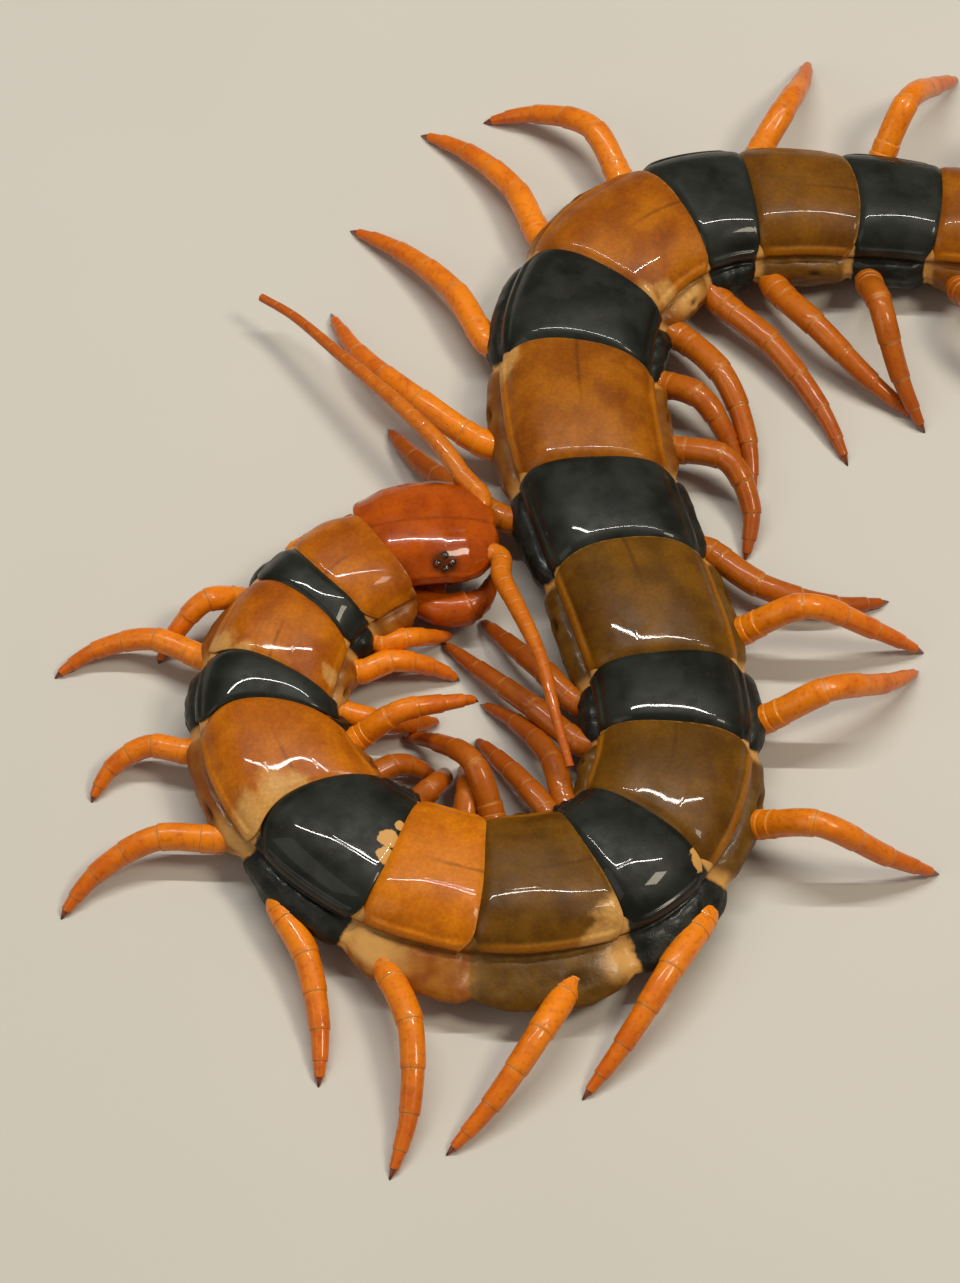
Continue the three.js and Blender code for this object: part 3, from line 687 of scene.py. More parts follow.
def back_plate(trunk, segment, thickness):
    """One back plate: domed, with two sutures, raised side rims and a rolled rear margin."""
    bm = start("across", "along", "tone", "pale")
    length = LENGTHS[segment - 1]
    drop = 0.25 if segment == 1 else FRONT_DROP
    arch = 0.2 + 0.035 * length
    draw = random.Random(PLATE_SEED + segment)
    lean = draw.uniform(-0.12, 0.12)
    suture = SUTURE + draw.uniform(-0.01, 0.01)
    spots = PALE_SPOTS.get(segment, ())

    def place(u, v):
        x = 2 * u - 1
        s = math.copysign(between(PLATE_COLUMNS, abs(x)), x)
        t = between(PLATE_ROWS, v)
        front, rear = plate_outline(segment, s)
        along = front + (rear - front) * t
        share = along / length
        point, _, left = trunk.at(segment, share, trunk.stiffness)
        half = trunk.half(segment, min(max(share, 0), 1)) * (1 - 0.035 * (1 - ease(0, 0.4, t)))
        crown = 1 - 0.3 * abs(s) ** 3.9
        sunk = drop * (1 - ease(0, 1.9, along - front))
        rolled = 0.16 * max(0, 1 - (rear - along) / 0.55) ** 2
        pillow = arch * math.sin(math.pi * min(max(t * 1.04 - 0.02, 0), 1)) * (1 - 0.55 * s * s)
        rim = 0.16 * hump(abs(s) - RIM, 0.022) - 0.13 * hump(abs(s) - FURROW, 0.024)
        rim *= ease(0.1, 0.3, t) * ease(1, 0.93, t) * min(1, segment / 6)
        groove = -0.003 * hump(abs(s) - suture - 0.01 * t, 0.011) * ease(0.08, 0.2, t) * ease(1.0, 0.9, t)
        groove *= 1 if segment > 2 else 0.4
        dimple = -0.025 * hump(s, 0.14) * ease(0.3, 0.9, t) * (segment > 10)
        up = trunk.belly + crown * trunk.height - sunk - rolled + pillow + rim + groove + dimple
        at = point + left * (s * (half - sunk * 0.35) + lean * 0.1) + UP * up
        at += UP * (0.03 * rough(at + Vector((PLATE_SEED, 0, 0)), 0.18) + 0.002 * rough(at, 1.3))
        pale = 0.42 * hump(rear - along, 0.35) * (segment not in DARK_SEGMENTS)
        for across, down, radius in spots:
            pale = max(pale, 1 - math.hypot((s - across) * 0.8, t - down) / (2 * radius))
        # The tone mark carries the plate's painted shade and painted light from the table
        return at, {"across": s, "along": t, "tone": PAINTED_SHADE_AND_LIGHT.get(segment, 0), "pale": pale}

    sheet(bm, *PLATE_GRID, place)
    thicken(bm, thickness)
    return bm


# A stretch of the left flank that bulges: its place in segments, its reach and how much wider it is
FLANK_SLACK = (8.3, 1.3, 0.36)
# Pale stretches of the flank, by segment: side, place along it, and reach
PALE_FLANKS = {
    3: (-1, 1, 3), 4: (-1, 0, 2), 5: (1, 1, 3.2), 6: (1, 1, 3.5), 7: (1, 0.15, 4), 8: (1, 1, 2),
    16: (1, 0.6, 3.5),
}
# Places from the back, 0, to the belly, 1: fold under the plates, breathing slits, furrow and leg roots
EDGE_FOLD = 0.335
SPIRACLE_PLACE = 0.47
ROOT_FURROW = 0.56
HIP_PLACE = 0.63
# Where a breathing slit lies along its segment
SPIRACLE_SHARE = 0.62
ROWS_PER_SEGMENT = 26
SKIN_COLUMNS = 84


def skin(trunk):
    """One skin from the neck to the tail: swollen flanks, folds at the joints, sockets for the legs."""
    bm = start("dark", "fold", "slit", "tone")
    rows = ROWS_PER_SEGMENT * LAST
    hips = {
        SIDES[side]: [sum(LENGTHS[:n]) + LENGTHS[n] * row[4] for n, row in enumerate(STANCE[side])]
        for side in SIDES
    }
    slack_place, slack_reach, slack_width = FLANK_SLACK

    def place(u, v):
        row = round(v * rows)
        segment = min(row // ROWS_PER_SEGMENT, LAST - 1) + 1
        share = row / ROWS_PER_SEGMENT - (segment - 1)
        side = 1 if u <= 0.5 else -1
        h = 1 - abs(1 - 2 * u)
        length = LENGTHS[segment - 1]
        point, rear, left = trunk.at(segment, share)
        if row in (0, rows):
            return point + UP * (trunk.belly + trunk.height * 0.45), {"fold": 1}
        half = trunk.half(segment, share)
        if segment == LAST:
            half *= 1 - 0.35 * ease(0.5, 1, share)
        shape = section(h)
        across = side * min(shape.x, 1)
        shift = margin(segment, across) * (1 - share) + margin(segment + 1, across) * share
        shift *= 1 - ease(0.25, 0.85, h)
        step = section(min(h + 0.02, 1)) - section(max(h - 0.02, 0))
        normal = Vector((-step.y * trunk.height, step.x * half)).normalized()
        gap = min(share, 1 - share) * length
        flank = ease(0.28, 0.42, h) * ease(0.88, 0.74, h)
        reached = sum(LENGTHS[:segment - 1]) + share * length + shift
        hip = hump(h - HIP_PLACE, 0.075) * max(hump(reached - root, 1.4) for root in hips[side])
        edge_fold = hump(h - EDGE_FOLD, 0.02)
        push = -0.6 * flank * hump(gap, 0.75) + 0.3 * flank * math.sin(math.pi * share)
        push += 0.5 * hip * (segment < LAST) - 0.22 * flank * hump(h - ROOT_FURROW, 0.018) - 0.3 * edge_fold
        squeeze = max(0, -side * TURNS[segment - 1]) / 30
        wander = 2 * rough(Vector((reached, h * 9, side)), 0.4)
        folds = math.cos(share * 2 * math.pi * round(length * 0.45) + wander)
        push += (0.03 + 0.05 * squeeze) * folds * hump(h - 0.45, 0.13)
        slit = 0
        if segment in SPIRACLE_SEGMENTS:
            off, down = (share - SPIRACLE_SHARE) * length, h - SPIRACLE_PLACE
            slit = hump(down, 0.02) * hump(off, 0.75)
            push += 0.35 * hump(down, 0.05) * hump(off, 1.3) - 0.75 * slit
        slack = slack_width * (side > 0) * hump(segment + share - slack_place, slack_reach)
        slack *= ease(0.36, 0.6, h) * ease(0.93, 0.76, h)
        at = point + rear * shift + left * side * shape.x * half * (1 + slack)
        at += UP * (trunk.belly + shape.y * trunk.height)
        push += flank * (0.16 * rough(at, 0.55) + 0.07 * rough(at, 1.6))
        if h > 0.9 or h < 0.2:
            push *= 0.2
        at += (left * side * normal.x + UP * normal.y) * push
        is_dark = segment in DARK_SEGMENTS
        near_dark = (segment - 1 if share < 0.5 else segment + 1) in DARK_SEGMENTS
        if is_dark:
            dark = 0.3 + 0.7 * ease(0, 0.9, gap)
        else:
            dark = 0.25 * near_dark * (1 - ease(-0.2, 0.5, gap))
        worn_side, worn_at, worn_reach = PALE_FLANKS.get(segment, (0, 0, 1))
        worn = (worn_side == side) * hump((share - worn_at) * length, worn_reach) * hump(h - 0.43, 0.14)
        seam = (0.8 if is_dark or near_dark else 0.35) * hump(gap, 0.9)
        fold = max(seam, 0.4 * hump(h - EDGE_FOLD, 0.05), 0.3 * hip, worn)
        # The tone mark carries the segment's painted shade onto its flank
        return at, {"dark": dark, "fold": fold, "slit": slit, "tone": PAINTED_SHADE_AND_LIGHT.get(segment, 0)}

    sleeve(bm, SKIN_COLUMNS, rows, place)
    return bm


BELLY_GRID = (28, 14)


def belly_plates(trunk):
    """A thin plate with two sutures under each segment."""
    bm = start("tone")
    for segment in range(1, LAST + 1):
        length = LENGTHS[segment - 1]

        def place(u, v):
            s = 2 * u - 1
            taper = 1 if segment < LAST else 1 - 0.45 * v
            corner = max(0, (abs(s) - 0.75) / 0.25) ** 2
            along = 0.35 + 0.8 * corner + (length - 0.6 - 1.4 * corner) * v
            point, _, left = trunk.at(segment, along / length)
            half = trunk.half(segment, v) * 0.62 * taper
            ridges = 0.06 * hump(abs(s) - 0.33, 0.05) + 0.1 * hump(v, 0.08) + 0.1 * hump(1 - v, 0.08)
            up = trunk.belly - 0.16 + 0.16 * s**4 + ridges
            return point + left * s * half + UP * up, {"tone": 0.7 * (segment in DARK_SEGMENTS)}
        sheet(bm, *BELLY_GRID, place)
    thicken(bm, -0.1)
    return bm


# Pieces of the head

# The head from the neck forward: place, share of the full width, height of the top
HEAD_RINGS = (
    (-3, 0.7, 7.8), (-1.1, 0.8, 8.4), (0.6, 0.94, 9), (3.2, 1, 9.3), (6, 1, 9.2), (8.4, 0.94, 8.7),
    (10, 0.8, 8), (11, 0.6, 7.3), (11.6, 0.34, 6.6),
)
# Height of the head's underside, and how far its front lies ahead of the neck
HEAD_BOTTOM = 4.6
HEAD_LENGTH = 11.6
# Where the grid of the head shield is drawn together: place on the grid, place on the shield
SHIELD_ROWS = ((0, 0), (0.15, 0.06), (0.8, 0.86), (0.92, 0.97), (1, 1))
SHIELD_GRID = (64, 56)
CAPSULE_GRID = (40, 36)
# A group of eyes: ahead, across, up; and its four lenses: ahead, outward, radius
EYE_PLACE = {"left": (5.9, 5.3, 6.2), "right": (5.9, 4.5, 7.9)}
LENSES = ((0.75, 0.15, 0.38), (-0.7, 0.1, 0.4), (0.1, 0.68, 0.34), (0.05, -0.58, 0.42))


def head_size(ahead):
    """Share of the full width, and top height, of the head so far forward of the neck."""
    return [between([(ring[0], ring[k]) for ring in HEAD_RINGS], ahead) for k in (1, 2)]


def head_shield(half_width):
    """The head shield: one smooth plate with a rolled rim, a notch between the feelers and faint lines."""
    bm = start("across", "along", "eye")

    def place(u, v):
        s = math.sin((u - 0.5) * math.pi)
        t = between(SHIELD_ROWS, v)
        side = s * 0.995
        rear = -1.2 - 1.2 * ease(-0.2, 0.5, side) + 1.5 * max(side, 0)**7 + 0.6 * max(-side, 0)**4
        front = HEAD_LENGTH * (0.36 + 0.64 * math.sqrt(1 - side * side)**0.55) - 0.35 * hump(side, 0.1)
        ahead = rear + (front - rear) * t
        wide, top = head_size(ahead)
        out = s * (half_width + 0.15) * (0.9 + 0.1 * ease(0, 3, ahead))
        near = max(0, abs(out) / max(half_width * wide, 0.5))
        crown = (top - HEAD_BOTTOM) * 0.47 * min(near, 1.2) ** 3.4
        edge = min(1 - abs(s), (front - ahead) / 6, (ahead - rear) / 6 + 0.02)
        rim = 0.1 * hump(edge - 0.05, 0.025) - 0.3 * hump(edge, 0.02)
        line = 0.05 * hump(abs(s) - 0.2 - 0.12 * t, 0.02) * ease(0.45, 0.7, t)
        eye_ahead, eye_across, _ = EYE_PLACE["left" if s > 0 else "right"]
        socket = hump(ahead - eye_ahead, 1.7) * hump(abs(out) - eye_across, 1.15)
        at = in_head(ahead, out, top - crown + rim - line + 0.18 * socket)
        at += UP * 0.015 * rough(at, 0.5)
        return at, {"across": s, "along": t, "eye": socket}

    sheet(bm, *SHIELD_GRID, place)
    thicken(bm, 0.22)
    return bm


def head_underside(half_width):
    """The softer capsule under the shield, set back so that the shield overhangs it."""
    bm = start("across", "along", "eye")

    def place(u, v):
        ahead = -0.9 + v * (HEAD_LENGTH + 0.4)
        wide, top = head_size(ahead)
        c, s = math.cos(u * 2 * math.pi), math.sin(u * 2 * math.pi)
        size = 0 if v in (0, 1) else 1
        edge = HEAD_BOTTOM + 0.42 * (top - HEAD_BOTTOM)
        rise = (top - 0.7 - edge) * s * 0.8 if s > 0 else (edge - HEAD_BOTTOM) * s * 0.95
        across = math.copysign(abs(c) ** 0.8, c) * half_width * wide * 0.9 - 0.12 * hump(s + 0.15, 0.15) * c
        return in_head(ahead, across * size, edge + rise * size), {"across": 0.5, "along": v}

    sleeve(bm, *CAPSULE_GRID, place)
    return bm


# The fang bearer from the neck forward: place and half-width
FANG_BEARER = ((-2, 4.2), (0.6, 4.7), (2.6, 4.9), (4.6, 4.4), (6, 3.1))
# Height of its middle
BEARER_HEIGHT = 2.55
BEARER_GRID = (44, 30)
# A fang's middle line: ahead, across, up
FANG_PATH = (
    (2.6, 3.6, 2.7), (4.2, 5.1, 2.8), (6.6, 5.7, 2.9), (8.8, 4.9, 2.8), (10, 3.2, 2.6), (10.5, 1.5, 2.4),
)
FANG_SPREAD = {"left": 0.8, "right": 1}


def fang_bearer():
    """The broad plate that carries the fangs, with a groove down the middle and two lobes in front."""
    bm = start_limb()

    def place(u, v):
        ahead = -2 + 8 * v
        c, s = math.cos(u * 2 * math.pi), math.sin(u * 2 * math.pi)
        size = 0 if v in (0, 1) else min(1, 0.8 + 4 * min(v, 1 - v))
        across = math.copysign(abs(c) ** 0.55, c) * between(FANG_BEARER, ahead) * size
        groove = 0.2 * hump(across, 0.25) * (s < 0) * (size > 0)
        rise = math.copysign(abs(s) ** 0.55, s) * 1.45 * size
        return in_face(ahead, across, BEARER_HEIGHT + rise + groove), {"tip": 0.2 * v}

    sleeve(bm, *BEARER_GRID, place)
    for side in SIDES.values():
        bead(bm, in_face(5.6, side * 1.5, 2.6), axes_of(in_face), (1.1, 1.25, 0.55), {"tip": 0.4})
    return bm


def fang_teeth():
    """Four dark teeth on each side of the fang bearer's front edge."""
    bm = start_limb()
    for side in SIDES.values():
        for k in range(4):
            across = side * (0.5 + 0.62 * k)
            root = in_face(6, across, 2.6)
            tip = in_face(7.1 - 0.2 * k, across * 0.97, 2.7)
            cone(bm, root, tip, 0.28, 8, {"tip": 0.9})
    return bm


# One article of a limb: share of the article, radius factor, and how close the joint is
ARTICLE = (
    (0, 0.95, 1), (0.02, 0.97, 0.8), (0.06, 0.985, 0.3), (0.2, 0.99, 0), (0.45, 1, 0), (0.7, 1.005, 0),
    (0.87, 1.015, 0.1), (0.95, 1.015, 0.35), (0.985, 0.995, 0.75), (1, 0.95, 1),
)


def add_limb(bm, path, articles, sides, size=1.0, tone=0.0, flat=1.0):
    """Adds a limb built of articles: start, end, radius at start and at end."""
    rings = []
    for k, (begin, end, first, last) in enumerate(articles):
        for t, factor, joint in ARTICLE[1 if k else 0:]:
            radius = (first + (last - first) * t) * factor * size
            share = begin + (end - begin) * t
            rings.append((share, radius, {"joint": joint, "tip": share, "tone": tone}))
    tube(bm, path, rings, sides, flat)


def add_claw(bm, path, root, steps, sides, radius):
    """Adds a claw to the end of a path, from a share of it. A function gives its radius on the way."""
    rings = []
    for k in range(steps + 1):
        t = k / steps
        rings.append((root + (1 - root) * t, radius(t), {"tip": t}))
    tube(bm, path, rings, sides)


# Articles of a limb: start and end as shares of its path, radius at start and at end
FANG_ARTICLES = (
    (0, 0.5, 1.45, 1.74), (0.5, 0.57, 1.52, 1.46), (0.57, 0.65, 1.36, 1.24), (0.65, 0.86, 1.15, 0.7),
)


def fang(side):
    """A fang: a stout base, two short rings and a long curved point."""
    spread = SIDES[side] * FANG_SPREAD[side]
    path = Path([in_face(ahead, across * spread, up) for ahead, across, up in FANG_PATH])
    base, claw = start_limb(), start_limb()
    add_limb(base, path, FANG_ARTICLES, 26, flat=1.02)
    add_claw(claw, path, 0.84, 10, 18, lambda t: 0.68 * (1 - t**1.3) + 0.03)
    return base, claw


# The feelers' middle lines: ahead, across, up
FEELER_PATHS = {
    "left": (
        (8.6, 2, 6.3), (10.4, 3.8, 6.7), (8.9, 6.6, 7.6), (7.5, 10, 8), (4.2, 16, 7.6), (-0.2, 23.6, 6.2),
        (-4.2, 30.2, 5.1), (-6.9, 33.3, 4.6),
    ),
    "right": (
        (9.4, -1.6, 6.2), (11, -2.7, 6.5), (10.7, -5.4, 7.3), (11.5, -9.8, 8.1), (12.6, -16, 8.5),
        (12.9, -22.5, 8), (13.3, -27.3, 7),
    ),
}


def feeler(side, count, radius):
    """A feeler of many short articles that thin toward the tip."""
    bm = start_limb()
    widths = [radius * (1 - 0.64 * (k / count) ** 0.85) for k in range(count + 1)]
    articles = [(k / count, (k + 1) / count, widths[k], widths[k + 1]) for k in range(count)]
    add_limb(bm, Path([in_face(*point) for point in FEELER_PATHS[side]]), articles, 18, tone=0.35)
    return bm


# A palp's middle line: ahead, across, up
PALP = ((4, 1.6, 4.6), (6.4, 2.7, 4.9), (8.4, 2.5, 4.5), (9.6, 1.2, 4.1))
PALP_ARTICLES = ((0, 0.4, 0.62, 0.6), (0.4, 0.75, 0.56, 0.52), (0.75, 1, 0.5, 0.22))


def mouthparts():
    """Two palps and two small jaws between the fangs, under an upper lip."""
    bm = start_limb()
    axes = axes_of(in_face)
    for side in SIDES.values():
        path = Path([in_face(ahead, side * across, up) for ahead, across, up in PALP])
        add_limb(bm, path, PALP_ARTICLES, 14)
        bead(bm, in_face(8, side * 0.75, 4.7), axes, (1.1, 0.62, 0.55), {"tip": 0.4})
    bead(bm, in_face(9, 0, 5.6), axes, (1.2, 1.9, 0.55), {"tip": 0.3})
    return bm


def eyes(side):
    """Four domed single eyes."""
    bm = start()
    ahead, across, up = EYE_PLACE[side]
    axes = axes_of(in_head)
    for forward, outward, size in LENSES:
        centre = in_head(ahead + forward, SIDES[side] * (across + outward), up + 0.42 - 0.3 * outward)
        bead(bm, centre, axes, (size, size, size * 0.85), {}, 14, 20)
    return bm


# Legs

LEG_ARTICLES = (
    (0.02, 0.145, 1.06, 1.06), (0.145, 0.2, 1.03, 1.02), (0.2, 0.395, 0.99, 0.97), (0.395, 0.575, 0.92, 0.86),
    (0.575, 0.745, 0.82, 0.73), (0.745, 0.885, 0.67, 0.53), (0.885, 0.955, 0.47, 0.34),
)
# Joints that carry a spur: share of the leg and its thickness there. The last walking pair has only the first
SPURS = ((0.745, 0.7), (0.885, 0.48))
CLAW_ROOT = 0.945


def walking_leg(trunk, n, side, radius, hip_height):
    """A leg of seven articles with small spurs, and its claw."""
    path = leg_path(trunk, n, side, hip_height)
    is_right = side == "right"
    size = radius * (0.78 if n == 1 else 0.9 if n < 5 or (is_right and n < 13) else 1)
    leg, claw = start_limb(), start_limb()
    draw = random.Random(100 * n + (not is_right))
    # The random part is the leg's own tone; the extra darkening of the inner right legs 5 to 13 and of the
    # left legs from 13 on is painted shade
    tone = draw.uniform(0, 0.15) + 0.55 * (is_right and 4 < n < 14) + 0.5 * (not is_right and n > 12)
    add_limb(leg, path, LEG_ARTICLES, 20, size, tone)
    for share, thick in SPURS[:1 if n == LAST - 1 else 2]:
        centre, way = path.at(share - 0.005)
        across = way.cross(UP).normalized()
        under = -across.cross(way)
        swing = across * draw.uniform(-0.5, 0.5)
        root = centre + (under + swing) * size * thick * 0.75
        tip = root + (under * 0.35 + swing * 0.3 + way) * 0.75
        cone(leg, root, tip, 0.14, 6, {"tip": 0.9, "tone": tone})
    add_claw(claw, path, CLAW_ROOT, 8, 12, lambda t: size * (0.28 * (1 - t) ** 0.8 + 0.035))
    return leg, claw


# The trailing pair, behind the tail: ahead, across, up
TRAILING_PATH = (
    (2.2, 3, 4.4), (-0.6, 4, 4.5), (-5.5, 6, 4.9), (-10.5, 7.8, 4.2), (-15, 8.8, 2.6), (-18.6, 9.2, 1.1),
    (-20.4, 9.2, 0),
)
TRAILING_ARTICLES = (
    (0, 0.1, 1.5, 1.62), (0.1, 0.35, 1.62, 1.84), (0.35, 0.575, 1.55, 1.6), (0.575, 0.78, 1.28, 1.16),
    (0.78, 0.91, 0.9, 0.7), (0.91, 0.965, 0.55, 0.42),
)
TRAILING_SPREAD = {"left": 1, "right": 0.86}


def trailing_leg(in_tail, side):
    """One of the last pair: stout, stretched back, with dark spines along the inside of the thigh."""
    spread = TRAILING_SPREAD[side] * SIDES[side]
    path = Path([in_tail(ahead, across * spread, up) for ahead, across, up in TRAILING_PATH])
    leg, spikes = start_limb(), start_limb()
    add_limb(leg, path, TRAILING_ARTICLES, 28)
    draw = random.Random(21 + (side == "left"))
    for row in range(3):
        for k in range(3 + row % 2):
            centre, way = path.at(0.15 + 0.055 * k + 0.01 * row)
            inward = way.cross(UP).normalized() * SIDES[side]
            spin = math.radians(-20 - 45 * row + draw.uniform(-8, 8))
            out = inward * math.cos(spin) + UP * math.sin(spin)
            root = centre + out * 1.45
            cone(spikes, root, root + (out + way * 0.9) * 0.75, 0.3, 8, {"tip": 0.8})
    add_claw(spikes, path, 0.955, 8, 12, lambda t: 0.36 * (1 - t) ** 0.8 + 0.04)
    return leg, spikes


def tail_end(in_tail):
    """Swollen side plates of the last segment, each ending in a pointed process, and the small end lobe."""
    bm = start_limb()
    axes = axes_of(in_tail)
    for side in SIDES.values():
        bead(bm, in_tail(2.2, side * 3.35, 3.4), axes, (3.3, 1.75, 2.3), {"tip": 0.2}, 18, 26)
        cone(bm, in_tail(0.8, side * 3.3, 2.3), in_tail(-2.1, side * 3, 2.6), 1.0, 14, {"tip": 0.3})
        cone(bm, in_tail(-1.7, side * 3.03, 2.6), in_tail(-2.5, side * 2.95, 2.65), 0.2, 8, {"tip": 1})
    bead(bm, in_tail(-0.2, 0, 4.4), axes, (2.1, 1.9, 2), {"tip": 0.3}, 18, 26)
    return bm


# Sizes and colours that a user would change

def length_property(name, description, default):
    return FloatProperty(
        name=name, description=description, default=default, min=0, unit="LENGTH", precision=5,
    )


def colour_property(name, description, default):
    return FloatVectorProperty(
        name=name, description=description, default=default, size=3, min=0, max=1, subtype="COLOR",
    )


class CentipedeSizes(bpy.types.PropertyGroup):
    """Sizes of the animal."""

    belly_height: length_property("Belly height", "Height of the belly over the ground", 0.0009)
    body_height: length_property("Body height", "Height of the trunk from belly to back", 0.0083)
    plate_width: length_property("Plate width", "Width of the widest back plate", 0.0154)
    plate_thickness: length_property("Plate thickness", "Thickness of a back plate", 0.00024)
    plate_stiffness: FloatProperty(
        name="Plate stiffness", description="Share of the trunk's bend that a back plate doesn't follow",
        default=0.1, min=0, max=1, subtype="FACTOR",
    )
    head_half_width: length_property("Head half-width", "Half the width of the head", 0.0056)
    leg_radius: length_property("Leg radius", "Radius of a walking leg near its root", 0.00136)
    hip_height: length_property("Hip height", "Height of the leg roots", 0.0033)
    feeler_radius: length_property("Feeler radius", "Radius of a feeler at its root", 0.00115)
    feeler_articles: IntProperty(name="Feeler articles", description="Number of articles", default=18, min=6)


class CentipedeTints(bpy.types.PropertyGroup):
    """Colours of the animal."""

    orange: colour_property("Orange", "Bright part of the light plates", (0.52, 0.148, 0.0005))
    orange_deep: colour_property("Deep orange", "Darker clouds of the light plates", (0.35, 0.082, 0.0005))
    # Painted light: the brighter, lit plates lean toward this amber
    lit_amber: colour_property("Amber", "Tone toward which the brightest plates lean", (0.95, 0.29, 0.004))
    # Painted shade on the shaded light plates; on the belly this is the belly's own colour
    olive: colour_property("Olive", "Bright part of the olive plates", (0.15, 0.064, 0.002))
    # Painted shade: darker clouds of the shaded plates and flanks
    shade_olive_deep: colour_property("Deep olive", "Darker clouds of the olive plates", (0.092, 0.04, 0.001))
    vessel: colour_property("Vessel", "Dark lines that show through the plates", (0.07, 0.018, 0.003))
    rim: colour_property("Rim", "Raised side rims of the light plates", (0.5, 0.165, 0.002))
    membrane: colour_property("Membrane", "Pale skin between plates", (0.6, 0.31, 0.08))
    black: colour_property("Black", "Dark plates", (0.005, 0.006, 0.004))
    slate: colour_property("Slate", "Paler clouds of the dark plates", (0.018, 0.021, 0.016))
    brown_edge: colour_property("Brown edge", "Thin edges of the dark plates", (0.06, 0.022, 0.008))
    flank: colour_property("Flank", "Bright part of the flanks", (0.35, 0.125, 0.01))
    flank_deep: colour_property("Deep flank", "Darker part of the flanks", (0.24, 0.06, 0.002))
    # Painted shade on the flanks beside the shaded plates
    flank_shade_olive: colour_property("Olive flank", "Flanks beside the olive plates", (0.15, 0.072, 0.006))
    leg: colour_property("Leg", "Walking legs", (0.85, 0.235, 0.003))
    leg_tip: colour_property("Leg tip", "Far end of the walking legs", (0.6, 0.12, 0.002))
    # Dark leg: the legs' own darker tone, and painted shade on the shaded legs
    leg_dark_and_shade: colour_property("Dark leg", "Tone toward which the duller legs lean", (0.2, 0.035, 0.002))
    head: colour_property("Head", "Head shield", (0.47, 0.082, 0.0005))
    head_deep: colour_property("Deep head", "Darker part of the head shield", (0.33, 0.05, 0.0005))
    claw: colour_property("Claw", "Roots of claws and fang tips", (0.2, 0.035, 0.003))


def settings():
    """The sizes and the colours."""
    scene = bpy.context.scene
    return scene.centipede_sizes, scene.centipede_tints


def trunk_node(segment):
    """The trunk solid that holds a segment."""
    first = segment - segment % 2
    return "trunk_01" if segment == 1 else f"trunk_{first:02d}_{first + 1:02d}"


# Operators

class CENTIPEDE_OT_back_plates(bpy.types.Operator):
    """Adds the twenty-one back plates"""

    bl_idname = "centipede.back_plates"
    bl_label = "Back Plates"

    def execute(self, context):
        sizes, tints = settings()
        trunk = Trunk(sizes)
        light, dark = light_plate_finish(tints), dark_plate_finish(tints)
        for n in range(1, LAST + 1):
            plate = back_plate(trunk, n, sizes.plate_thickness / MM)
            finish = dark if n in DARK_SEGMENTS else light
            piece(plate, f"back_plate_{n:02d}", finish, "trunk_cuticle", trunk_node(n))
        return {"FINISHED"}


class CENTIPEDE_OT_skin(bpy.types.Operator):
    """Adds the skin of the trunk and the belly plates"""

    bl_idname = "centipede.skin"
    bl_label = "Trunk Skin"

    def execute(self, context):
        sizes, tints = settings()
        trunk = Trunk(sizes)
        nodes = sorted({trunk_node(n) for n in range(1, LAST + 1)})
        lobes = limb_finish("tail_cuticle", tints, tints.orange_deep, tints.vessel)
        piece(skin(trunk), "trunk_skin", skin_finish(tints), "trunk_cuticle", *nodes)
        piece(belly_plates(trunk), "belly_plates", belly_finish(tints), "trunk_cuticle", *nodes)
        piece(tail_end(trunk.in_tail), "tail_lobes", lobes, "trunk_cuticle", trunk_node(LAST))
        return {"FINISHED"}


class CENTIPEDE_OT_head(bpy.types.Operator):
    """Adds the head shield, its underside, the jaws and the eyes"""

    bl_idname = "centipede.head"
    bl_label = "Head"

    def execute(self, context):
        sizes, tints = settings()
        half_width = sizes.head_half_width / MM
        cuticle, horn, lens = head_finish(tints), horn_finish(tints), eye_finish(tints)
        jaw = limb_finish("jaw_cuticle", tints, tints.head, tints.head_deep)
        piece(head_shield(half_width), "head_shield", cuticle, "head_cuticle", "head")
        piece(head_underside(half_width), "head_underside", cuticle, "head_cuticle", "head")
        piece(mouthparts(), "mouthparts", jaw, "head_cuticle", "head")
        piece(fang_bearer(), "fang_bearer", jaw, "head_cuticle", "trunk_01")
        piece(fang_teeth(), "fang_bearer_teeth", horn, "head_cuticle", "trunk_01")
        for side in SIDES:
            piece(eyes(side), f"eyes_{side}", lens, "ocelli", f"ocelli_{side}")
        return {"FINISHED"}


class CENTIPEDE_OT_feelers(bpy.types.Operator):
    """Adds the two feelers and the two fangs"""

    bl_idname = "centipede.feelers"
    bl_label = "Feelers and Fangs"

    def execute(self, context):
        sizes, tints = settings()
        cuticle = limb_finish("feeler_cuticle", tints, tints.leg, tints.leg_tip)
        fang_skin = limb_finish("fang_cuticle", tints, tints.head, tints.head_deep, coat=0.5)
        horn = horn_finish(tints)
        for side in SIDES:
            bm = feeler(side, sizes.feeler_articles, sizes.feeler_radius / MM)
            piece(bm, f"feeler_{side}", cuticle, "leg_cuticle", f"antenna_{side}")
            base, claw = fang(side)
            piece(base, f"fang_{side}", fang_skin, "head_cuticle", f"forcipule_{side}")
            piece(claw, f"fang_claw_{side}", horn, "head_cuticle", f"forcipule_{side}")
        return {"FINISHED"}


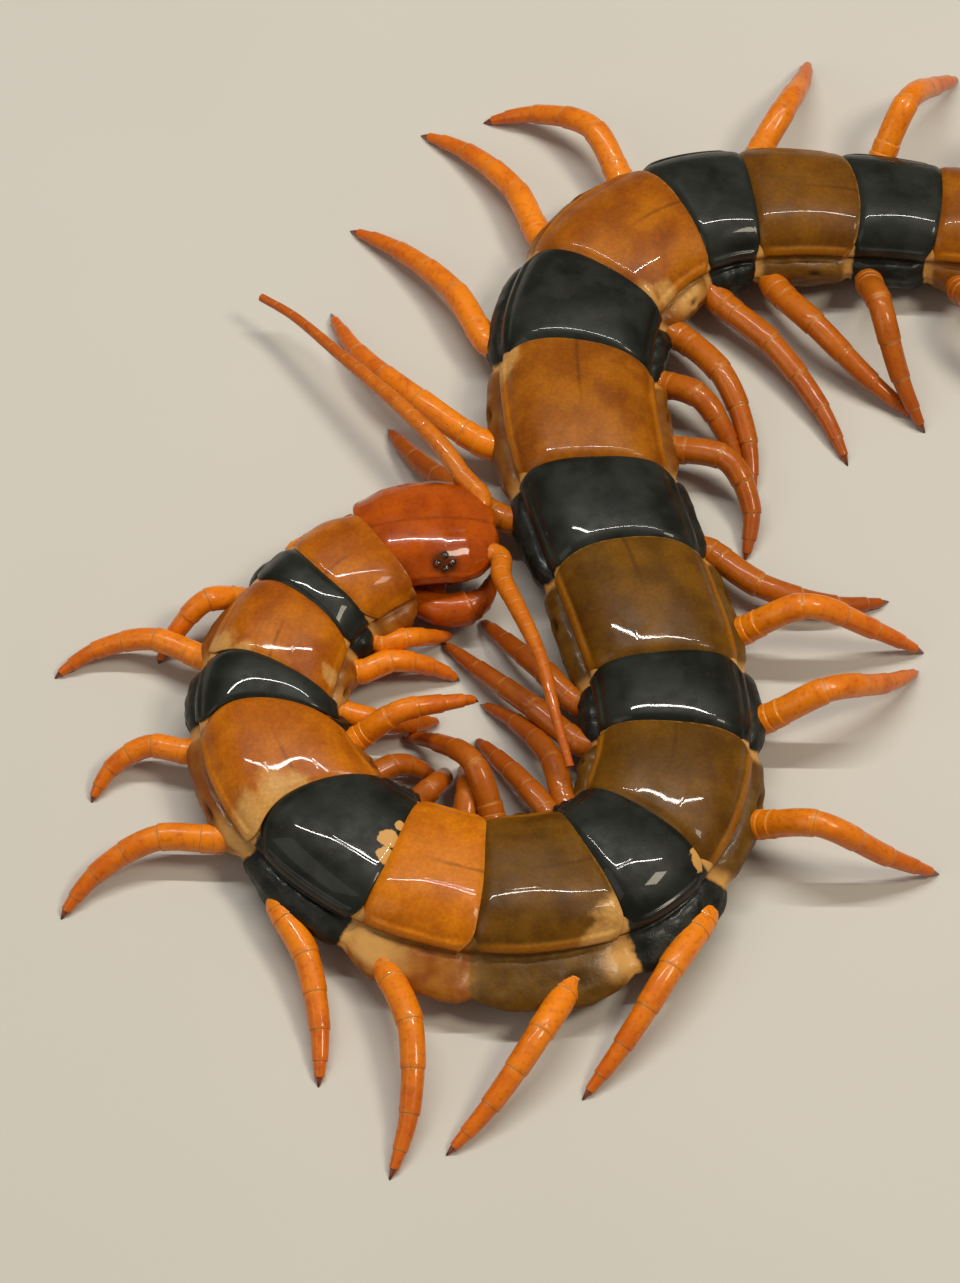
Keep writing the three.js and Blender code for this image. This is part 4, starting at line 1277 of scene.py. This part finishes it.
class CENTIPEDE_OT_legs(bpy.types.Operator):
    """Adds the forty walking legs and the trailing pair, with their claws"""

    bl_idname = "centipede.legs"
    bl_label = "Legs"

    def execute(self, context):
        sizes, tints = settings()
        trunk = Trunk(sizes)
        radius, hip_height = sizes.leg_radius / MM, sizes.hip_height / MM
        cuticle = limb_finish("leg_cuticle", tints, tints.leg, tints.leg_tip)
        thigh = limb_finish("trailing_leg_cuticle", tints, tints.vessel, tints.leg)
        horn = horn_finish(tints)
        for side in SIDES:
            for n in range(1, LAST):
                leg, claw = walking_leg(trunk, n, side, radius, hip_height)
                piece(leg, f"walking_leg_{n:02d}_{side}", cuticle, "leg_cuticle", f"leg_{n:02d}_{side}")
                piece(claw, f"claw_{n:02d}_{side}", horn, "leg_cuticle", f"leg_{n:02d}_{side}")
            leg, spikes = trailing_leg(trunk.in_tail, side)
            piece(leg, f"trailing_leg_{LAST}_{side}", thigh, "leg_cuticle", f"leg_{LAST}_{side}")
            piece(spikes, f"trailing_spines_{side}", horn, "leg_cuticle", f"leg_{LAST}_{side}")
        return {"FINISHED"}


# The studio. The camera looks down at the elevation that the photograph shows
CAMERA_TARGET = Vector((-21.98, -6.92, 0)) * MM
CAMERA_ELEVATION = math.radians(58)
CAMERA_DISTANCE = 0.47
SENSOR_WIDTH = 36
PIXELS_PER_METRE = 10300
PHOTO_HEIGHT = 1283
FLOOR_HALF_WIDTH = 1.5
FLOOR_TONES = ((0.55, 0.53, 0.49), (0.6, 0.58, 0.54))
SKY_TONE = (1, 0.95, 0.86, 1)
SKY_STRENGTH = 0.16
# Soft rectangular lamps: place and size in metres, watts and colour
LAMPS = {
    "strip_lamp": ((-0.02, 0.17, 0.6), (0.6, 0.009), 2.6, (1, 0.97, 0.9)),
    "key_lamp": ((0.35, -0.1, 0.6), (0.16, 0.16), 1.9, (1, 0.9, 0.72)),
    "fill_lamp": ((-0.6, -0.3, 0.5), (0.5, 0.5), 0.9, (1, 0.94, 0.84)),
}


class CENTIPEDE_OT_studio(bpy.types.Operator):
    """Adds the pale floor, the soft lamps and the camera"""

    bl_idname = "centipede.studio"
    bl_label = "Studio"

    def execute(self, context):
        bm = bmesh.new()
        bmesh.ops.create_grid(bm, x_segments=8, y_segments=8, size=FLOOR_HALF_WIDTH)
        mesh = bpy.data.meshes.new("floor")
        bm.to_mesh(mesh)
        bm.free()
        paper = Finish("studio_paper")
        tone = paper.blend(paper.clouds(60, 2), *FLOOR_TONES)
        mesh.materials.append(paper.done(tone, 0.9))
        show("floor", mesh)
        world = bpy.data.worlds.new("studio")
        world.use_nodes = True
        background = world.node_tree.nodes["Background"]
        background.inputs["Color"].default_value = SKY_TONE
        background.inputs["Strength"].default_value = SKY_STRENGTH
        context.scene.world = world
        for name, (place, size, power, tint) in LAMPS.items():
            data = bpy.data.lights.new(name, "AREA")
            data.shape = "RECTANGLE"
            data.size, data.size_y = size
            data.energy = power
            data.color = tint
            lamp = show(name, data)
            lamp.location = place
            lamp.rotation_euler = (CAMERA_TARGET - Vector(place)).to_track_quat("-Z", "Y").to_euler()
        data = bpy.data.cameras.new("camera")
        data.sensor_width = SENSOR_WIDTH
        data.lens = PIXELS_PER_METRE * CAMERA_DISTANCE * SENSOR_WIDTH / PHOTO_HEIGHT
        data.clip_start, data.clip_end = 0.01, 10
        camera = show("camera", data)
        back = Vector((0, -math.cos(CAMERA_ELEVATION), math.sin(CAMERA_ELEVATION)))
        camera.location = CAMERA_TARGET + back * CAMERA_DISTANCE
        camera.rotation_euler = (math.pi / 2 - CAMERA_ELEVATION, 0, 0)
        context.scene.camera = camera
        context.scene.view_settings.view_transform = "Standard"
        return {"FINISHED"}


class CENTIPEDE_PT_panel(bpy.types.Panel):
    """Lists the steps in the sidebar"""

    bl_label = "Tiger Centipede"
    bl_idname = "CENTIPEDE_PT_panel"
    bl_space_type = "VIEW_3D"
    bl_region_type = "UI"
    bl_category = "Centipede"

    def draw(self, context):
        for step in STEPS:
            self.layout.operator(step.bl_idname)
        for group in settings():
            box = self.layout.box()
            for name in group.__annotations__:
                box.prop(group, name)


STEPS = (
    CENTIPEDE_OT_studio, CENTIPEDE_OT_skin, CENTIPEDE_OT_back_plates, CENTIPEDE_OT_head, CENTIPEDE_OT_feelers,
    CENTIPEDE_OT_legs,
)
CLASSES = (CentipedeSizes, CentipedeTints, *STEPS, CENTIPEDE_PT_panel)


def register():
    for cls in CLASSES:
        bpy.utils.register_class(cls)
    bpy.types.Scene.centipede_sizes = PointerProperty(type=CentipedeSizes)
    bpy.types.Scene.centipede_tints = PointerProperty(type=CentipedeTints)


def unregister():
    del bpy.types.Scene.centipede_tints
    del bpy.types.Scene.centipede_sizes
    for cls in reversed(CLASSES):
        bpy.utils.unregister_class(cls)


def main():
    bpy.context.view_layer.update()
    register()
    bpy.ops.centipede.studio()
    bpy.ops.centipede.skin()
    bpy.ops.centipede.back_plates()
    bpy.ops.centipede.head()
    bpy.ops.centipede.feelers()
    bpy.ops.centipede.legs()


if __name__ == "__main__":
    main()
